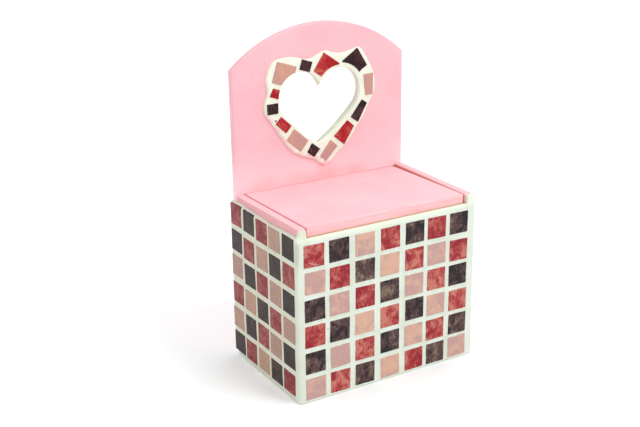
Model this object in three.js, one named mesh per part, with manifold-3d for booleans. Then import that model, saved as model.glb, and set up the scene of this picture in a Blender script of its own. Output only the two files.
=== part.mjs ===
// A small wooden box with a lift-off lid and a tall back board that has a heart cut through it.
// The front, the sides and the rim of the heart are covered with craft mosaic set in plaster.
// Millimetres, +Z up. X runs across the box, -Y is its front. The origin is under the middle.

import * as THREE from "three";
import { mergeVertices } from "three/addons/utils/BufferGeometryUtils.js";
import Module from "manifold-3d";

const wasm = await Module();
wasm.setup();

// Carcass: boards of one thickness, butted together.
const BOARD = 4;
const CARCASS_WIDTH = 90.5;
const SIDE_DEPTH = 54.6;
const SIDE_HEIGHT = 79.5;
const RIGHT_SIDE_RISE = 1.3;
const FRONT_HEIGHT = 75.2;
const BACK_CORNER_HEIGHT = 135.8;
const BACK_PEAK_HEIGHT = 153.4;
const EDGE_EASE = 0.5;
const CURVE_STEPS = 24;
const CUTTER_DEPTH = 12;

// Lid: it rests on the front board and in a shallow groove across the back board.
const LID_WIDTH = 81;
const LID_THICKNESS = 4.5;
const LID_GROOVE_DEPTH = 1.2;
const LID_PLAY = 0.3;

// Mosaic: tiles glued to the wood, and plaster between them that stays a little lower.
const MOSAIC_THICKNESS = 1.8;
const PLASTER_THICKNESS = 1.5;
const TILE = 10;
const TILE_EASE = 0.3;
const JOINT_GAP = 0.25;

const FRONT_COLUMNS = 7;
const SIDE_COLUMNS = 5;
const ROWS = 6;
const FRONT_PITCH = { across: 12.65, down: 12.2 };
const SIDE_PITCH = { across: 11.8, down: 12.48 };
const FRONT_TOP_LEFT = { across: -38.5, up: 67.5 };
const SIDE_TOP_LEFT = { across: -24.8, up: 70.2 };
const TILE_SHIFT = 0.25;
const TILE_TURN = THREE.MathUtils.degToRad(1.3);

// Plaster on the sides ends in a hand-drawn wavy line below the top edge of the boards.
const SIDE_PLASTER_HEIGHT = 76.4;
const SIDE_PLASTER_WAVE = 0.45;
const SIDE_PLASTER_WAVES = 3;
const STEPS_PER_WAVE = 8;
const CHEEK_PLASTER_DROP = 0.5;
const CHEEK_PLASTER_ROUND = 1.2;

// Heart: two round lobes, and two gently bowed sides that meet in a blunt tip.
const HEART_X = -1.65;
const LOBE_RADIUS = 11.3;
const LOBE_OFFSET = 10.4;
const LOBE_HEIGHT = 120.9;
const HEART_TIP = { x: -3.2, z: 97.8 };
const HEART_BOW = { x: 10.5, z: 103.5 };
const LOBE_END = THREE.MathUtils.degToRad(40);
const LOBE_STEPS = 14;
const SIDE_STEPS = 7;
const LINING = 1.0;
const LINING_GAP = 0.3;
const HEART_RIM_GAP = 0.4;
const TIP_GROWTH = 1.3;
const BOW_GROWTH = 0.8;

// Outer edge of the plaster round the heart, smoothed by hand, clockwise from the top left.
const PLASTER_EDGE = [
  [-25.7, 137.2], [-18.3, 139.4], [-11.5, 138.2], [-6.2, 138.1], [0.6, 140.5], [6.4, 138.9],
  [12.4, 139], [19.2, 139.9], [23.6, 135.6], [27.2, 128.6], [28.8, 121], [26, 112.2],
  [21, 104.7], [13.4, 95.3], [7.5, 91.4], [1.4, 86.8], [-4.6, 89.8], [-12.4, 93.3],
  [-19.4, 99], [-25.2, 109], [-30.2, 116.4], [-29.6, 125.6], [-28.6, 132.4],
];
const PLASTER_EDGE_STEPS = 60;

// Tiles round the heart, clockwise from the top left: centre, size and turn of each cut piece.
// The taper is the width of its upper end over that of its lower end.
const HEART_TILES = [
  { x: -20.1, z: 131.9, wide: 10.4, tall: 9.4, turn: -17, taper: 1 },
  { x: -9.1, z: 134.8, wide: 5.5, tall: 4.4, turn: -18, taper: 1 },
  { x: 1.9, z: 132.6, wide: 10.3, tall: 9.7, turn: -35, taper: 1 },
  { x: 17, z: 133, wide: 9.9, tall: 9.7, turn: 32, taper: 1 },
  { x: 24.7, z: 121.7, wide: 5, tall: 10.1, turn: 0, taper: 0.95 },
  { x: 19.4, z: 110.2, wide: 4.9, tall: 10, turn: -34, taper: 0.75 },
  { x: 11.7, z: 101.1, wide: 6.5, tall: 9.5, turn: -41, taper: 0.7 },
  { x: 2.5, z: 93.2, wide: 4.9, tall: 8.5, turn: -43, taper: 1.1 },
  { x: -5.7, z: 94.7, wide: 4.9, tall: 4.6, turn: -40, taper: 1.3 },
  { x: -13.9, z: 100.7, wide: 9.9, tall: 6.2, turn: -40, taper: 1 },
  { x: -21, z: 108.9, wide: 7, tall: 4.2, turn: -43, taper: 1 },
  { x: -26.4, z: 117, wide: 5.3, tall: 4.9, turn: 1, taper: 1 },
  { x: -24.9, z: 123.7, wide: 4.4, tall: 4, turn: -20, taper: 0.75 },
];

// Places that follow from the sizes above.
const HALF_WIDTH = CARCASS_WIDTH / 2;
const INNER_HALF_WIDTH = HALF_WIDTH - BOARD;
const DEPTH = MOSAIC_THICKNESS + SIDE_DEPTH + BOARD;
const BACK_Y = DEPTH / 2;
const BACK_FRONT_Y = BACK_Y - BOARD;
const WOOD_FRONT_Y = BACK_FRONT_Y - SIDE_DEPTH;

const PINK_PAINT = new THREE.MeshStandardMaterial({ color: 0xffc4ce, roughness: 0.55 });
const PLASTER = new THREE.MeshStandardMaterial({ color: 0xe9ede0, roughness: 0.9 });
const RED_TILE = new THREE.MeshStandardMaterial({ color: 0xb04a4a, roughness: 0.25 });
const BLACK_TILE = new THREE.MeshStandardMaterial({ color: 0x3a2f31, roughness: 0.25 });
const PINK_TILE = new THREE.MeshStandardMaterial({ color: 0xd2ae9f, roughness: 0.25 });

// Tile colours run on in one order along each row, and a row starts anywhere in that order.
// A maker's slips move a few tiles one step on.
const FRONT_ORDER = [RED_TILE, BLACK_TILE, PINK_TILE];
const FRONT_ROW_STARTS = [0, 2, 1, 0, 1, 2];
const FRONT_SLIP = { rows: 2, fromColumn: 5 };

function toSolid(geometry) {
  const bare = geometry.clone();
  bare.deleteAttribute("normal");
  bare.deleteAttribute("uv");
  const merged = mergeVertices(bare, 1e-5);
  return new wasm.Manifold(new wasm.Mesh({
    numProp: 3,
    vertProperties: new Float32Array(merged.attributes.position.array),
    triVerts: new Uint32Array(merged.index.array),
  }));
}

function toGeometry(solid) {
  const mesh = solid.getMesh();
  const geometry = new THREE.BufferGeometry();
  geometry.setAttribute("position", new THREE.BufferAttribute(mesh.vertProperties, 3));
  geometry.setIndex(new THREE.BufferAttribute(mesh.triVerts, 1));
  geometry.computeVertexNormals();
  return geometry;
}

// A repeatable number from -1 to 1 for each seed, for pieces laid by hand.
function wobble(seed) {
  const wave = Math.sin(seed * 12.9898 + 4.1) * 43758.5453;
  return 2 * (wave - Math.floor(wave)) - 1;
}

// A flat piece of the given outline, lying on the XY plane, with its edges eased.
function plate(outline, thickness, ease) {
  const geometry = new THREE.ExtrudeGeometry(outline, {
    depth: thickness - 2 * ease,
    steps: 1,
    bevelEnabled: ease > 0,
    bevelThickness: ease,
    bevelSize: ease,
    bevelOffset: -ease,
    bevelSegments: 1,
    curveSegments: CURVE_STEPS,
  });
  geometry.translate(0, 0, ease);
  return geometry;
}

function rectangle(left, right, bottom, top) {
  return new THREE.Shape([
    new THREE.Vector2(left, bottom),
    new THREE.Vector2(right, bottom),
    new THREE.Vector2(right, top),
    new THREE.Vector2(left, top),
  ]);
}

// Stands a plate up, so that its first face lies on the plane y and it grows to the front.
function standing(geometry, y) {
  return geometry.rotateX(Math.PI / 2).translate(0, y, 0);
}

// Stands a plate up on a side plane of the box: side is -1 for the left and 1 for the right.
// Its outline is drawn as it is seen from outside, and it grows outwards.
function sideStanding(geometry, side, x) {
  return geometry.rotateX(Math.PI / 2).rotateZ(side * Math.PI / 2).translate(side * x, 0, 0);
}

function makeBaseBoard() {
  const outline = rectangle(
    -INNER_HALF_WIDTH, INNER_HALF_WIDTH, WOOD_FRONT_Y + BOARD, BACK_FRONT_Y,
  );
  return plate(outline, BOARD, EDGE_EASE);
}

function makeFrontBoard() {
  const outline = rectangle(-INNER_HALF_WIDTH, INNER_HALF_WIDTH, 0, FRONT_HEIGHT);
  return standing(plate(outline, BOARD, EDGE_EASE), WOOD_FRONT_Y + BOARD);
}

// The right side board was cut a little taller towards the back.
function makeSideBoard(side) {
  const corners = [
    [WOOD_FRONT_Y, 0],
    [BACK_FRONT_Y, 0],
    [BACK_FRONT_Y, SIDE_HEIGHT + (side === 1 ? RIGHT_SIDE_RISE : 0)],
    [WOOD_FRONT_Y, SIDE_HEIGHT],
  ];
  const outline = new THREE.Shape(corners.map(([y, z]) => new THREE.Vector2(side * y, z)));
  return sideStanding(plate(outline, BOARD, EDGE_EASE), side, INNER_HALF_WIDTH);
}

function makeLid() {
  const outline = rectangle(
    -LID_WIDTH / 2, LID_WIDTH / 2, WOOD_FRONT_Y, BACK_FRONT_Y + LID_GROOVE_DEPTH - LID_PLAY,
  );
  return plate(outline, LID_THICKNESS, EDGE_EASE).translate(0, 0, FRONT_HEIGHT);
}

// The heart's outline, grown outwards all round by the given amount.
function heartPoints(grow) {
  const radius = LOBE_RADIUS + grow;
  const tip = new THREE.Vector2(HEART_TIP.x, HEART_TIP.z - TIP_GROWTH * grow);
  const notchAngle = Math.acos(LOBE_OFFSET / radius);
  const points = [];
  for (const side of [1, -1]) {
    const centre = new THREE.Vector2(HEART_X + side * LOBE_OFFSET, LOBE_HEIGHT);
    const lobe = [];
    for (let step = 0; step <= LOBE_STEPS; step += 1) {
      const share = step / LOBE_STEPS;
      const angle = -LOBE_END + share * (Math.PI - notchAngle + LOBE_END);
      lobe.push(new THREE.Vector2(
        centre.x + side * radius * Math.cos(angle), centre.y + radius * Math.sin(angle),
      ));
    }
    const bow = new THREE.Vector2(
      HEART_X + side * (HEART_BOW.x + BOW_GROWTH * grow), HEART_BOW.z - BOW_GROWTH * grow,
    );
    const flank = new THREE.QuadraticBezierCurve(tip, bow, lobe[0]).getPoints(SIDE_STEPS);
    const half = [...flank.slice(0, -1), ...lobe];
    points.push(...(side === 1 ? half.slice(0, -1) : half.reverse().slice(0, -1)));
  }
  return points;
}

function heartCutter(grow, thickness) {
  return plate(new THREE.Shape(heartPoints(grow)), thickness, 0);
}

function makeBackBoard() {
  const rise = BACK_PEAK_HEIGHT - BACK_CORNER_HEIGHT;
  const radius = (HALF_WIDTH ** 2 + rise ** 2) / (2 * rise);
  const halfAngle = Math.asin(HALF_WIDTH / radius);
  const outline = new THREE.Shape();
  outline.moveTo(-HALF_WIDTH, 0);
  outline.lineTo(HALF_WIDTH, 0);
  outline.lineTo(HALF_WIDTH, BACK_CORNER_HEIGHT);
  outline.absarc(
    0, BACK_PEAK_HEIGHT - radius, radius, Math.PI / 2 - halfAngle, Math.PI / 2 + halfAngle, false,
  );
  const board = toSolid(standing(plate(outline, BOARD, EDGE_EASE), BACK_Y));
  const heart = toSolid(standing(heartCutter(LINING + LINING_GAP, CUTTER_DEPTH), BACK_Y + BOARD));
  const groove = new THREE.BoxGeometry(
    LID_WIDTH + 2 * LID_PLAY, 2 * LID_GROOVE_DEPTH, LID_THICKNESS + 2 * LID_PLAY,
  );
  groove.translate(0, BACK_FRONT_Y, FRONT_HEIGHT + LID_THICKNESS / 2);
  return toGeometry(board.subtract(heart).subtract(toSolid(groove)));
}

// One tile's outline, laid by hand: a little off its place in the grid, and a little turned.
function tileOutline(across, up, seed, grow) {
  const centre = new THREE.Vector2(
    across + TILE_SHIFT * wobble(seed), up + TILE_SHIFT * wobble(seed + 100),
  );
  const turn = TILE_TURN * wobble(seed + 200);
  const half = TILE / 2 + grow;
  const corners = [[-half, -half], [half, -half], [half, half], [-half, half]];
  return new THREE.Shape(corners.map(([x, y]) => (
    new THREE.Vector2(x, y).rotateAround(new THREE.Vector2(), turn).add(centre)
  )));
}

function frontTileOutline(row, column, grow) {
  return tileOutline(
    FRONT_TOP_LEFT.across + column * FRONT_PITCH.across,
    FRONT_TOP_LEFT.up - row * FRONT_PITCH.down,
    row * FRONT_COLUMNS + column,
    grow,
  );
}

function frontTileMaterial(row, column) {
  const slips = row < FRONT_SLIP.rows && column >= FRONT_SLIP.fromColumn ? 1 : 0;
  return FRONT_ORDER[(FRONT_ROW_STARTS[row] + column + slips) % FRONT_ORDER.length];
}

function makeFrontTile(row, column) {
  return standing(plate(frontTileOutline(row, column, 0), MOSAIC_THICKNESS, TILE_EASE), WOOD_FRONT_Y);
}

// Plaster on the front: it runs up the two cheek ends and leaves the lid's front edge bare.
function makeFrontPlaster() {
  const outer = HALF_WIDTH + PLASTER_THICKNESS;
  const cheekTop = SIDE_HEIGHT - CHEEK_PLASTER_DROP;
  const outline = new THREE.Shape();
  outline.moveTo(-outer, 0);
  outline.lineTo(outer, 0);
  for (const side of [1, -1]) {
    const ends = [outer, INNER_HALF_WIDTH];
    const corners = [
      [side * ends[0], cheekTop - CHEEK_PLASTER_ROUND],
      [side * (ends[0] - CHEEK_PLASTER_ROUND), cheekTop],
      [side * ends[1], cheekTop],
      [side * ends[1], FRONT_HEIGHT],
    ];
    for (const [x, z] of side === 1 ? corners : corners.reverse()) {
      outline.lineTo(x, z);
    }
  }
  let plaster = toSolid(plate(outline, PLASTER_THICKNESS, TILE_EASE));
  for (let row = 0; row < ROWS; row += 1) {
    for (let column = 0; column < FRONT_COLUMNS; column += 1) {
      const pocket = plate(frontTileOutline(row, column, JOINT_GAP), CUTTER_DEPTH, 0);
      pocket.translate(0, 0, -BOARD);
      plaster = plaster.subtract(toSolid(pocket));
    }
  }
  return standing(toGeometry(plaster), WOOD_FRONT_Y);
}

// Mosaic on a side: one bed of plaster with its tiles standing a little proud of it.
function makeSideMosaic(side) {
  const front = -WOOD_FRONT_Y;
  const [left, right] = side === -1 ? [-BACK_Y, front] : [-front, BACK_Y];
  const outline = new THREE.Shape();
  outline.moveTo(left, 0);
  outline.lineTo(right, 0);
  const steps = STEPS_PER_WAVE * SIDE_PLASTER_WAVES;
  for (let step = steps; step >= 0; step -= 1) {
    const share = step / steps;
    const wave = SIDE_PLASTER_WAVE * Math.sin(2 * Math.PI * SIDE_PLASTER_WAVES * share + side);
    outline.lineTo(left + share * (right - left), SIDE_PLASTER_HEIGHT + wave);
  }
  let mosaic = toSolid(plate(outline, PLASTER_THICKNESS, 0));
  for (let row = 0; row < ROWS; row += 1) {
    for (let column = 0; column < SIDE_COLUMNS; column += 1) {
      const across = -side * (SIDE_TOP_LEFT.across + column * SIDE_PITCH.across);
      const up = SIDE_TOP_LEFT.up - row * SIDE_PITCH.down;
      const seed = 50 * (side + 2) + row * SIDE_COLUMNS + column;
      const tile = plate(tileOutline(across, up, seed, 0), MOSAIC_THICKNESS, TILE_EASE);
      mosaic = mosaic.add(toSolid(tile));
    }
  }
  return sideStanding(toGeometry(mosaic), side, HALF_WIDTH);
}

function heartTileOutline({ x, z, wide, tall, turn, taper }) {
  const lower = wide / (1 + taper);
  const upper = lower * taper;
  const corners = [[-lower, -tall / 2], [lower, -tall / 2], [upper, tall / 2], [-upper, tall / 2]];
  return new THREE.Shape(corners.map(([u, v]) => (
    new THREE.Vector2(u, v)
      .rotateAround(new THREE.Vector2(), THREE.MathUtils.degToRad(turn))
      .add(new THREE.Vector2(x, z))
  )));
}

// Mosaic round the heart: a ring of plaster on the board's face, a lining through the hole,
// and cut tiles that stand proud of the ring.
function makeHeartMosaic() {
  const edge = new THREE.CatmullRomCurve3(
    PLASTER_EDGE.map(([x, z]) => new THREE.Vector3(x, z, 0)), true, "centripetal",
  );
  const edgePoints = edge.getSpacedPoints(PLASTER_EDGE_STEPS).slice(0, -1).reverse();
  const ring = plate(
    new THREE.Shape(edgePoints.map(({ x, y }) => new THREE.Vector2(x, y))), PLASTER_THICKNESS, TILE_EASE,
  );
  const lining = heartCutter(LINING, BOARD + TILE_EASE).translate(0, 0, -BOARD);
  let mosaic = toSolid(ring).add(toSolid(lining));
  const rim = toSolid(heartCutter(HEART_RIM_GAP, CUTTER_DEPTH).translate(0, 0, -BOARD));
  for (const tile of HEART_TILES) {
    const cutTile = toSolid(plate(heartTileOutline(tile), MOSAIC_THICKNESS, TILE_EASE)).subtract(rim);
    mosaic = mosaic.add(cutTile);
  }
  const opening = toSolid(heartCutter(0, CUTTER_DEPTH).translate(0, 0, -2 * BOARD));
  return standing(toGeometry(mosaic.subtract(opening)), BACK_FRONT_Y);
}

const box = new THREE.Group();

function addPiece(name, geometry, material) {
  const piece = new THREE.Mesh(geometry, material);
  piece.name = name;
  box.add(piece);
}

addPiece("base_board", makeBaseBoard(), PINK_PAINT);
addPiece("front_board", makeFrontBoard(), PINK_PAINT);
addPiece("left_side_board", makeSideBoard(-1), PINK_PAINT);
addPiece("right_side_board", makeSideBoard(1), PINK_PAINT);
addPiece("back_board", makeBackBoard(), PINK_PAINT);
addPiece("lid", makeLid(), PINK_PAINT);
addPiece("front_plaster", makeFrontPlaster(), PLASTER);
addPiece("left_mosaic", makeSideMosaic(-1), PLASTER);
addPiece("right_mosaic", makeSideMosaic(1), PLASTER);
addPiece("heart_mosaic", makeHeartMosaic(), PLASTER);

for (let row = 0; row < ROWS; row += 1) {
  for (let column = 0; column < FRONT_COLUMNS; column += 1) {
    const name = `front_tile_row${row + 1}_${column + 1}`;
    addPiece(name, makeFrontTile(row, column), frontTileMaterial(row, column));
  }
}

export default box;
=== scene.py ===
"""Dresses a small mosaic box that has a heart cut through its tall back board.

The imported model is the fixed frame. Painted boards, plaster and tiles are built around it as
meshes, in metres, and every surface gets a finish made of shader nodes.
"""

import logging
import math
from dataclasses import dataclass, field
from enum import Enum
from functools import cached_property
from typing import Callable, Sequence

import bmesh
import bpy
from mathutils import Matrix, Vector, noise


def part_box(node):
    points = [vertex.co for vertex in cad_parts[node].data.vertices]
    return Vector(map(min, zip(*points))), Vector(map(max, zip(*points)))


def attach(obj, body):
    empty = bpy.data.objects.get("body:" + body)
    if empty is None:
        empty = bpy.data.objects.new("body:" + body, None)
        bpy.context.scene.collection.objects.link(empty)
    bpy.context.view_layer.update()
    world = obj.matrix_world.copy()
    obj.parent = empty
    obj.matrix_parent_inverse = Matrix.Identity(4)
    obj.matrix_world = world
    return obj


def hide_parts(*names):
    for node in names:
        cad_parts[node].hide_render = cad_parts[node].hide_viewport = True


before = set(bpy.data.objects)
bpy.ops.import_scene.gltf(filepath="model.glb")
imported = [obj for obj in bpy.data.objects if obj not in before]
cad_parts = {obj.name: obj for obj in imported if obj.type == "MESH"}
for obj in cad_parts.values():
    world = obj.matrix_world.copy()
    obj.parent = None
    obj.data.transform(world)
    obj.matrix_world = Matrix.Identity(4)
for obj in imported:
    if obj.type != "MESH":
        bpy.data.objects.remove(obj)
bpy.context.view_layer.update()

log = logging.getLogger("mosaic_box")

MM = 0.001
BODY = "root"
SHARP_ANGLE = math.radians(38)
SEED_ATTRIBUTE = "hand"

# Where soft noise starts and stops to count: over its whole swing, or only on its crests.
SWING = (0.3, 0.7)
CRESTS = (0.6, 0.8)

Row = list[Vector]
Relief = Callable[[float, float], float]
Span = tuple[float, float]
Triple = tuple[float, float, float]
Colour = tuple[float, float, float, float]
Socket = bpy.types.NodeSocket
Material = bpy.types.Material
Piece = bpy.types.Object


def srgb(red: int, green: int, blue: int) -> Colour:
    """Turns a screen colour into a linear one.

    Args:
        red: Red, from 0 to 255.
        green: Green, from 0 to 255.
        blue: Blue, from 0 to 255.

    Returns:
        The linear colour, with full alpha.
    """
    shares = [value / 255 for value in (red, green, blue)]
    linear = [s / 12.92 if s <= 0.04045 else ((s + 0.055) / 1.055) ** 2.4 for s in shares]
    return (linear[0], linear[1], linear[2], 1.0)


class Whim(Enum):
    """What differs from tile to tile; each has a run of numbers of its own."""

    ACROSS = 0
    UP = 100
    TURN = 200
    LEAN_ACROSS = 300
    LEAN_UP = 400
    GLAZE = 500


def wobble(number: int, whim: Whim) -> float:
    """Gives a repeatable number from -1 to 1 for a tile laid by hand."""
    wave = math.sin((number + whim.value) * 12.9898 + 4.1) * 43758.5453
    return 2 * (wave - math.floor(wave)) - 1


def smooth(share: float) -> float:
    """Eases a share from 0 to 1, with flat ends."""
    held = min(1.0, max(0.0, share))
    return held * held * (3 - 2 * held)


def shoulder(depth: float, radius: float) -> float:
    """Gives how much a rounded edge drops at a distance from its end.

    Args:
        depth: Distance from the edge's end.
        radius: Radius of the rounding.

    Returns:
        The drop, which is 0 beyond the radius.
    """
    if depth >= radius:
        return 0.0
    side = radius - max(0.0, depth)
    return radius - math.sqrt(max(0.0, radius * radius - side * side))


def ripple(place: Vector, period: float, shift: float = 0.0) -> float:
    """Gives a soft random height, about from -1 to 1; a shift gives another pattern."""
    return noise.noise(place / period + Vector((shift, 2 * shift, -shift)))


def quarter(steps: int) -> list[Span]:
    """Divides a quarter round of radius 1: how far in and how far down each place is."""
    turns = [math.pi / 2 * step / steps for step in range(steps + 1)]
    return [(1 - math.cos(turn), 1 - math.sin(turn)) for turn in turns]


def curve(start: Vector, corner: Vector, end: Vector, share: float) -> Vector:
    """Gives a point of the curve that is drawn towards a corner on its way."""
    return start.lerp(corner, share).lerp(corner.lerp(end, share), share)


def inset(outline: Row, amount: float) -> Row:
    """Moves a closed outline inwards with mitred corners.

    Args:
        outline: Points in order, anticlockwise.
        amount: Distance inwards; a negative one moves it outwards.

    Returns:
        As many points as the outline has.
    """
    moved = []
    for index, point in enumerate(outline):
        before = (point - outline[index - 1]).normalized()
        after = (outline[(index + 1) % len(outline)] - point).normalized()
        inward = Vector((-before.y - after.y, before.x + after.x)).normalized()
        mitre = max(0.5, inward.dot(Vector((-before.y, before.x))))
        moved.append(point + inward * (amount / mitre))
    return moved


def rounded_outline(corners: Sequence[Vector], radius: float, spacing: float,
                    drawn_in: float = 0.0) -> Row:
    """Draws a polygon with small round corners and evenly divided sides.

    Args:
        corners: The polygon's corners, anticlockwise.
        radius: Radius of the corners.
        spacing: Rough distance between points on a side.
        drawn_in: Distance that the polygon is drawn in, with as many points as before.

    Returns:
        The outline's points.
    """
    arc_steps = 3
    sides = [(corners[(k + 1) % len(corners)] - corner).length for k, corner in enumerate(corners)]
    corners = inset(corners, drawn_in)
    radius = max(radius - drawn_in, 0.2 * radius)
    count = len(corners)
    arcs = []
    for index, corner in enumerate(corners):
        back = corners[index - 1] - corner
        on = corners[(index + 1) % count] - corner
        reach = radius / math.tan(back.angle(on) / 2)
        start = corner + back.normalized() * reach
        end = corner + on.normalized() * reach
        arcs.append([curve(start, corner, end, k / arc_steps) for k in range(arc_steps + 1)])
    outline = []
    for index, arc in enumerate(arcs):
        outline.extend(arc)
        following = arcs[(index + 1) % count][0]
        parts = max(1, round(sides[index] / spacing))
        outline.extend(arc[-1].lerp(following, part / parts) for part in range(1, parts))
    return outline


def meet_rays(outline: Row, middle: Vector, angles: Sequence[float]) -> Row:
    """Finds where rays from a middle point meet a closed outline.

    Args:
        outline: Points in order, anticlockwise, with the middle inside.
        middle: Where the rays start.
        angles: Direction of each ray.

    Returns:
        One point for each ray.
    """
    local = [point - middle for point in outline]
    found = []
    for angle in angles:
        ray = Vector((math.cos(angle), math.sin(angle)))
        hit = ray
        for start, end in zip(local, local[1:] + local[:1]):
            before = ray.x * start.y - ray.y * start.x
            after = ray.x * end.y - ray.y * end.x
            if before <= 0 < after and ray.dot(start + end) > 0:
                side = end - start
                reach = (start.x * side.y - start.y * side.x) / (ray.x * side.y - ray.y * side.x)
                hit = ray * reach
                break
        found.append(middle + hit)
    return found


@dataclass(frozen=True)
class Plane:
    """A flat side of the box, with a way across it, a way up it and a way out of it."""

    origin: Vector
    across: Vector
    up: Vector

    def at(self, place: Vector, out: float = 0.0) -> Vector:
        """Gives the point at distances across and up the plane, and a distance off it."""
        outwards = self.across.cross(self.up)
        return self.origin + self.across * place.x + self.up * place.y + outwards * out


@dataclass
class Draft:
    """Points and faces of a closed piece, gathered row by row."""

    points: Row = field(default_factory=list)
    faces: list[tuple[int, ...]] = field(default_factory=list)

    def row(self, places: Sequence[Vector]) -> list[int]:
        """Adds a row of points and returns their numbers."""
        self.points.extend(places)
        return list(range(len(self.points) - len(places), len(self.points)))

    def join(self, lower: list[int], upper: list[int], closed: bool = True) -> None:
        """Joins two rows of the same length with a band of faces.

        Args:
            lower: Numbers of the first row's points.
            upper: Numbers of the second row's points.
            closed: Whether the rows are closed rings.
        """
        last = len(lower) if closed else len(lower) - 1
        for index in range(last):
            following = (index + 1) % len(lower)
            self.faces.append((lower[index], lower[following], upper[following], upper[index]))

    def fan(self, ring: list[int], middle: Vector) -> None:
        """Closes a ring with triangles that meet at its middle.

        Args:
            ring: Numbers of the ring's points.
            middle: Where the triangles meet.
        """
        hub = self.row([middle])[0]
        for index, number in enumerate(ring):
            self.faces.append((number, ring[(index + 1) % len(ring)], hub))

    def loft(self, rows: Sequence[Row], round_trip: bool) -> list[list[int]]:
        """Joins rings one after the other.

        Args:
            rows: The rings, each with the same number of points.
            round_trip: Whether the last ring joins the first.

        Returns:
            The numbers of each ring's points.
        """
        numbered = [self.row(places) for places in rows]
        for lower, upper in zip(numbered, numbered[1:]):
            self.join(lower, upper)
        if round_trip:
            self.join(numbered[-1], numbered[0])
        return numbered

    def piece(self, name: str, seed: float = 0.0) -> Piece:
        """Makes the object.

        Args:
            name: The piece's name.
            seed: Number from 0 to 1 that its finish may vary with.

        Returns:
            The new object, with outward faces and smooth shading.
        """
        mesh = bpy.data.meshes.new(name)
        mesh.from_pydata([tuple(point) for point in self.points], [], self.faces)
        work = bmesh.new()
        work.from_mesh(mesh)
        bmesh.ops.recalc_face_normals(work, faces=work.faces)
        work.to_mesh(mesh)
        work.free()
        mesh.polygons.foreach_set("use_smooth", [True] * len(mesh.polygons))
        mesh.set_sharp_from_angle(angle=SHARP_ANGLE)
        hand = mesh.attributes.new(SEED_ATTRIBUTE, "FLOAT", "POINT")
        hand.data.foreach_set("value", [seed] * len(mesh.vertices))
        made = bpy.data.objects.new(name, mesh)
        bpy.context.scene.collection.objects.link(made)
        return made


@dataclass
class Slab:
    """A flat piece with rounded edges, such as a board or a tile."""

    plane: Plane
    ring: Callable[[float], Row]
    thickness: float
    easing: float
    foot_easing: float
    foot: float = 0.0
    face_rings: int = 4
    relief: Relief = lambda across, up: 0.0

    def build(self, name: str, seed: float = 0.0) -> Piece:
        """Builds the slab from its back face to its front face.

        Args:
            name: The piece's name.
            seed: Number from 0 to 1 that its finish may vary with.

        Returns:
            The new object.
        """
        easing_steps = 3
        edge_easings = 1.5
        draft = Draft()
        rows = []
        back_ring = self.ring(self.foot_easing)
        for rise, inward in quarter(easing_steps):
            height = self.foot + self.foot_easing * rise
            ring = self.ring(self.foot_easing * inward)
            rows.append([self.plane.at(p, height) for p in ring])
        for inward, drop in quarter(easing_steps):
            ring = self.ring(self.easing * inward)
            rows.append([self._front(p, self.easing * drop, 1 - drop) for p in ring])
        front_ring = self.ring(self.easing)
        middle = sum(front_ring, Vector((0.0, 0.0))) / len(front_ring)
        holding = edge_easings * self.easing / max((p - middle).length for p in front_ring)
        for share in [holding] + [step / self.face_rings for step in range(1, self.face_rings)]:
            rows.append([self._front(p.lerp(middle, share), 0.0, 1.0) for p in front_ring])
        numbered = draft.loft(rows, round_trip=False)
        draft.fan(numbered[-1], self._front(middle, 0.0, 1.0))
        back_middle = sum(back_ring, Vector((0.0, 0.0))) / len(back_ring)
        draft.fan(numbered[0][::-1], self.plane.at(back_middle, self.foot))
        return draft.piece(name, seed)

    def _front(self, place: Vector, drop: float, share: float) -> Vector:
        """Gives a point of the front face: its drop below it, and its share of the relief."""
        height = self.thickness - drop + share * self.relief(place.x, place.y)
        return self.plane.at(place, height)


@dataclass(frozen=True)
class Carcass:
    """Main planes of the box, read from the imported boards."""

    half_width: float
    inner_half_width: float
    back_y: float
    back_front_y: float
    wood_front_y: float
    board: float
    front_height: float
    left_height: float
    right_height: float

    @classmethod
    def from_frame(cls) -> "Carcass":
        """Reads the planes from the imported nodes' boxes.

        Returns:
            The box's planes.
        """
        back_low, back_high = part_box("back_board")
        front_low, front_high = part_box("front_board")
        return cls(
            half_width=back_high.x,
            inner_half_width=front_high.x,
            back_y=back_high.y,
            back_front_y=back_low.y,
            wood_front_y=front_low.y,
            board=back_high.y - back_low.y,
            front_height=front_high.z,
            left_height=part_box("left_side_board")[1].z,
            right_height=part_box("right_side_board")[1].z,
        )

    def side(self, hand: int, x: float) -> Plane:
        """Gives a side's upright plane (-1 left, 1 right), as it is seen from outside."""
        return Plane(Vector((hand * x, 0, 0)), Vector((0, hand, 0)), Vector((0, 0, 1)))

    def upright(self, y: float) -> Plane:
        """Gives a plane that faces the front at a depth."""
        return Plane(Vector((0, y, 0)), Vector((1, 0, 0)), Vector((0, 0, 1)))

    def level(self, z: float) -> Plane:
        """Gives a level plane at a height."""
        return Plane(Vector((0, 0, z)), Vector((1, 0, 0)), Vector((0, 1, 0)))


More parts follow.
